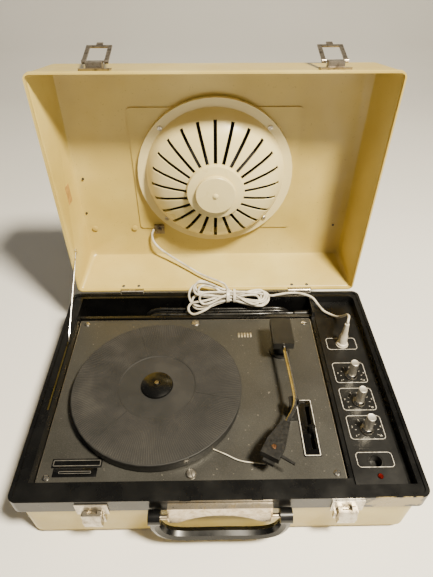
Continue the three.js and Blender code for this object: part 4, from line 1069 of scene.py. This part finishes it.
def surface_hit(node, start, direction):
    """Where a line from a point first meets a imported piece."""
    thing = NODES[node]
    back = thing.matrix_world.inverted()
    met, place, _, _ = thing.ray_cast(back @ start, back.to_3x3() @ Vector(direction))
    if not met:
        raise ValueError(f"nothing of {node} lies that way")
    return thing.matrix_world @ place


head_top = surface_hit("headshell", case_point(55.35, 44.8, 60), (0, 0, -1))
head_screw = screw_head("headshell_screw", head_top, UP, 2.7, 1.1, COPPER, turn=0.9)
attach(head_screw, "tonearm")
tape_plan = ((123, 34), (149, 33), (149, 46), (123, 47))
tape_corners = [surface_hit("lid_shell", lid_point(-120, s, h), (-1, 0, 0)) for s, h in tape_plan]
inward = Vector((0.25 * MM, 0, 0))
tape = block("tape_patch", ([p - inward for p in tape_corners], [p + inward for p in tape_corners]), 0, TAPE)
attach(tape, "lid")
# Dark discs at the lid's ejector pits: painted shade standing in for the pits' dark hollows.
ejector_pits = scattered(
    "ejector_pits",
    lathe("ejector_pit", [(0, -0.4), (1.7, -0.4), (1.7, 0.12), (0, 0.2)], CENTRE, FRONT, 20, IRON),
    [lid_point(x, s, 70.3) for x, s in ((-179, 142), (-184, 88), (173.6, 64.5))],
    (0, 0, 0),
    IRON,
    FRONT,
)
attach(ejector_pits, "lid")
WIRE_POINTS = [(-9.4, 62.8, -14.4), (6, 55.6, -14.2), (21.9, 47.6, -14), (48.8, 43.9, -15.4)]
wire_route = smooth_route([case_point(*p) for p in WIRE_POINTS], 2 * MM)
arm_wire = sweep("arm_wire", wire_route, 0.7 * MM, 8, WHITE_SHEATH)
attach(arm_wire, "base")


# ------------------------------------------------------------------ tie round the lead
def tie_band(name, x, across, up, centre, width, thickness):
    """A closed band round the hank's waist."""
    vertices, faces = [], []
    count = 40
    for i in range(count):
        angle = 2 * math.pi * i / count
        for along, out in ((-width / 2, 0), (width / 2, 0), (width / 2, thickness), (-width / 2, thickness)):
            vertices.append(
                hank_point(x + along, (across + out) * math.cos(angle), centre + (up + out) * math.sin(angle))
            )
    for i in range(count):
        a, b = 4 * i, 4 * ((i + 1) % count)
        faces += [(a + k, b + k, b + (k + 1) % 4, a + (k + 1) % 4) for k in range(4)]
    return crease(join_faces_outward(mesh_from(name, vertices, faces, WHITE_PLUG)), 40)


bands = [tie_band("band", 17, 9.4, 7.4, 1.6, 4.2, 0.9), tie_band("band", 26, 9.2, 7.2, 1.6, 3.4, 0.9)]
lead_tie = merged("lead_tie", bands)
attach(lead_tie, "base")

# ------------------------------------------------------------------ cords in the frame
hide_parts("speaker_lead_lid", "speaker_lead_hank", "speaker_lead_base")
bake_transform(speaker_lead)
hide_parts("mains_lead_hank")
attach(mains_lead, "base")

# ------------------------------------------------------------------ floor and light
sweep_profile = [(-3.0, 0.0), (1.2, 0.0), (1.6, 0.05), (1.9, 0.25), (2.05, 0.6), (2.1, 3.0)]
floor_vertices = [Vector((x, y, z - 0.0004)) for y, z in sweep_profile for x in (-4, 4)]
floor_faces = [(2 * i, 2 * i + 1, 2 * i + 3, 2 * i + 2) for i in range(len(sweep_profile) - 1)]
floor = mesh_from("studio_floor", floor_vertices, floor_faces, studio_paint())


def softbox(name, place, target, size, watts, colour):
    light = bpy.data.lights.new(name, "AREA")
    light.shape, light.size, light.energy = "DISK", size, watts
    light.color = srgb(colour)[:3]
    lamp = bpy.data.objects.new(name, light)
    bpy.context.scene.collection.objects.link(lamp)
    lamp.location = place
    lamp.rotation_euler = (Vector(target) - Vector(place)).to_track_quat("-Z", "Y").to_euler()
    lamp.visible_camera = False
    return lamp


AIM = (0.0, 0.0, 0.15)
key = softbox("key", (0.55, -0.55, 1.5), AIM, 0.24, 92, "fff3da")
fill = softbox("fill", (0.35, -1.7, 1.0), AIM, 1.2, 3.0, "fff4e6")
world = bpy.data.worlds.new("studio")
world.use_nodes = True
sky = world.node_tree.nodes["Background"]
sky.inputs["Color"].default_value = srgb("ebe8e2")
sky.inputs["Strength"].default_value = 0.11
bpy.context.scene.world = world
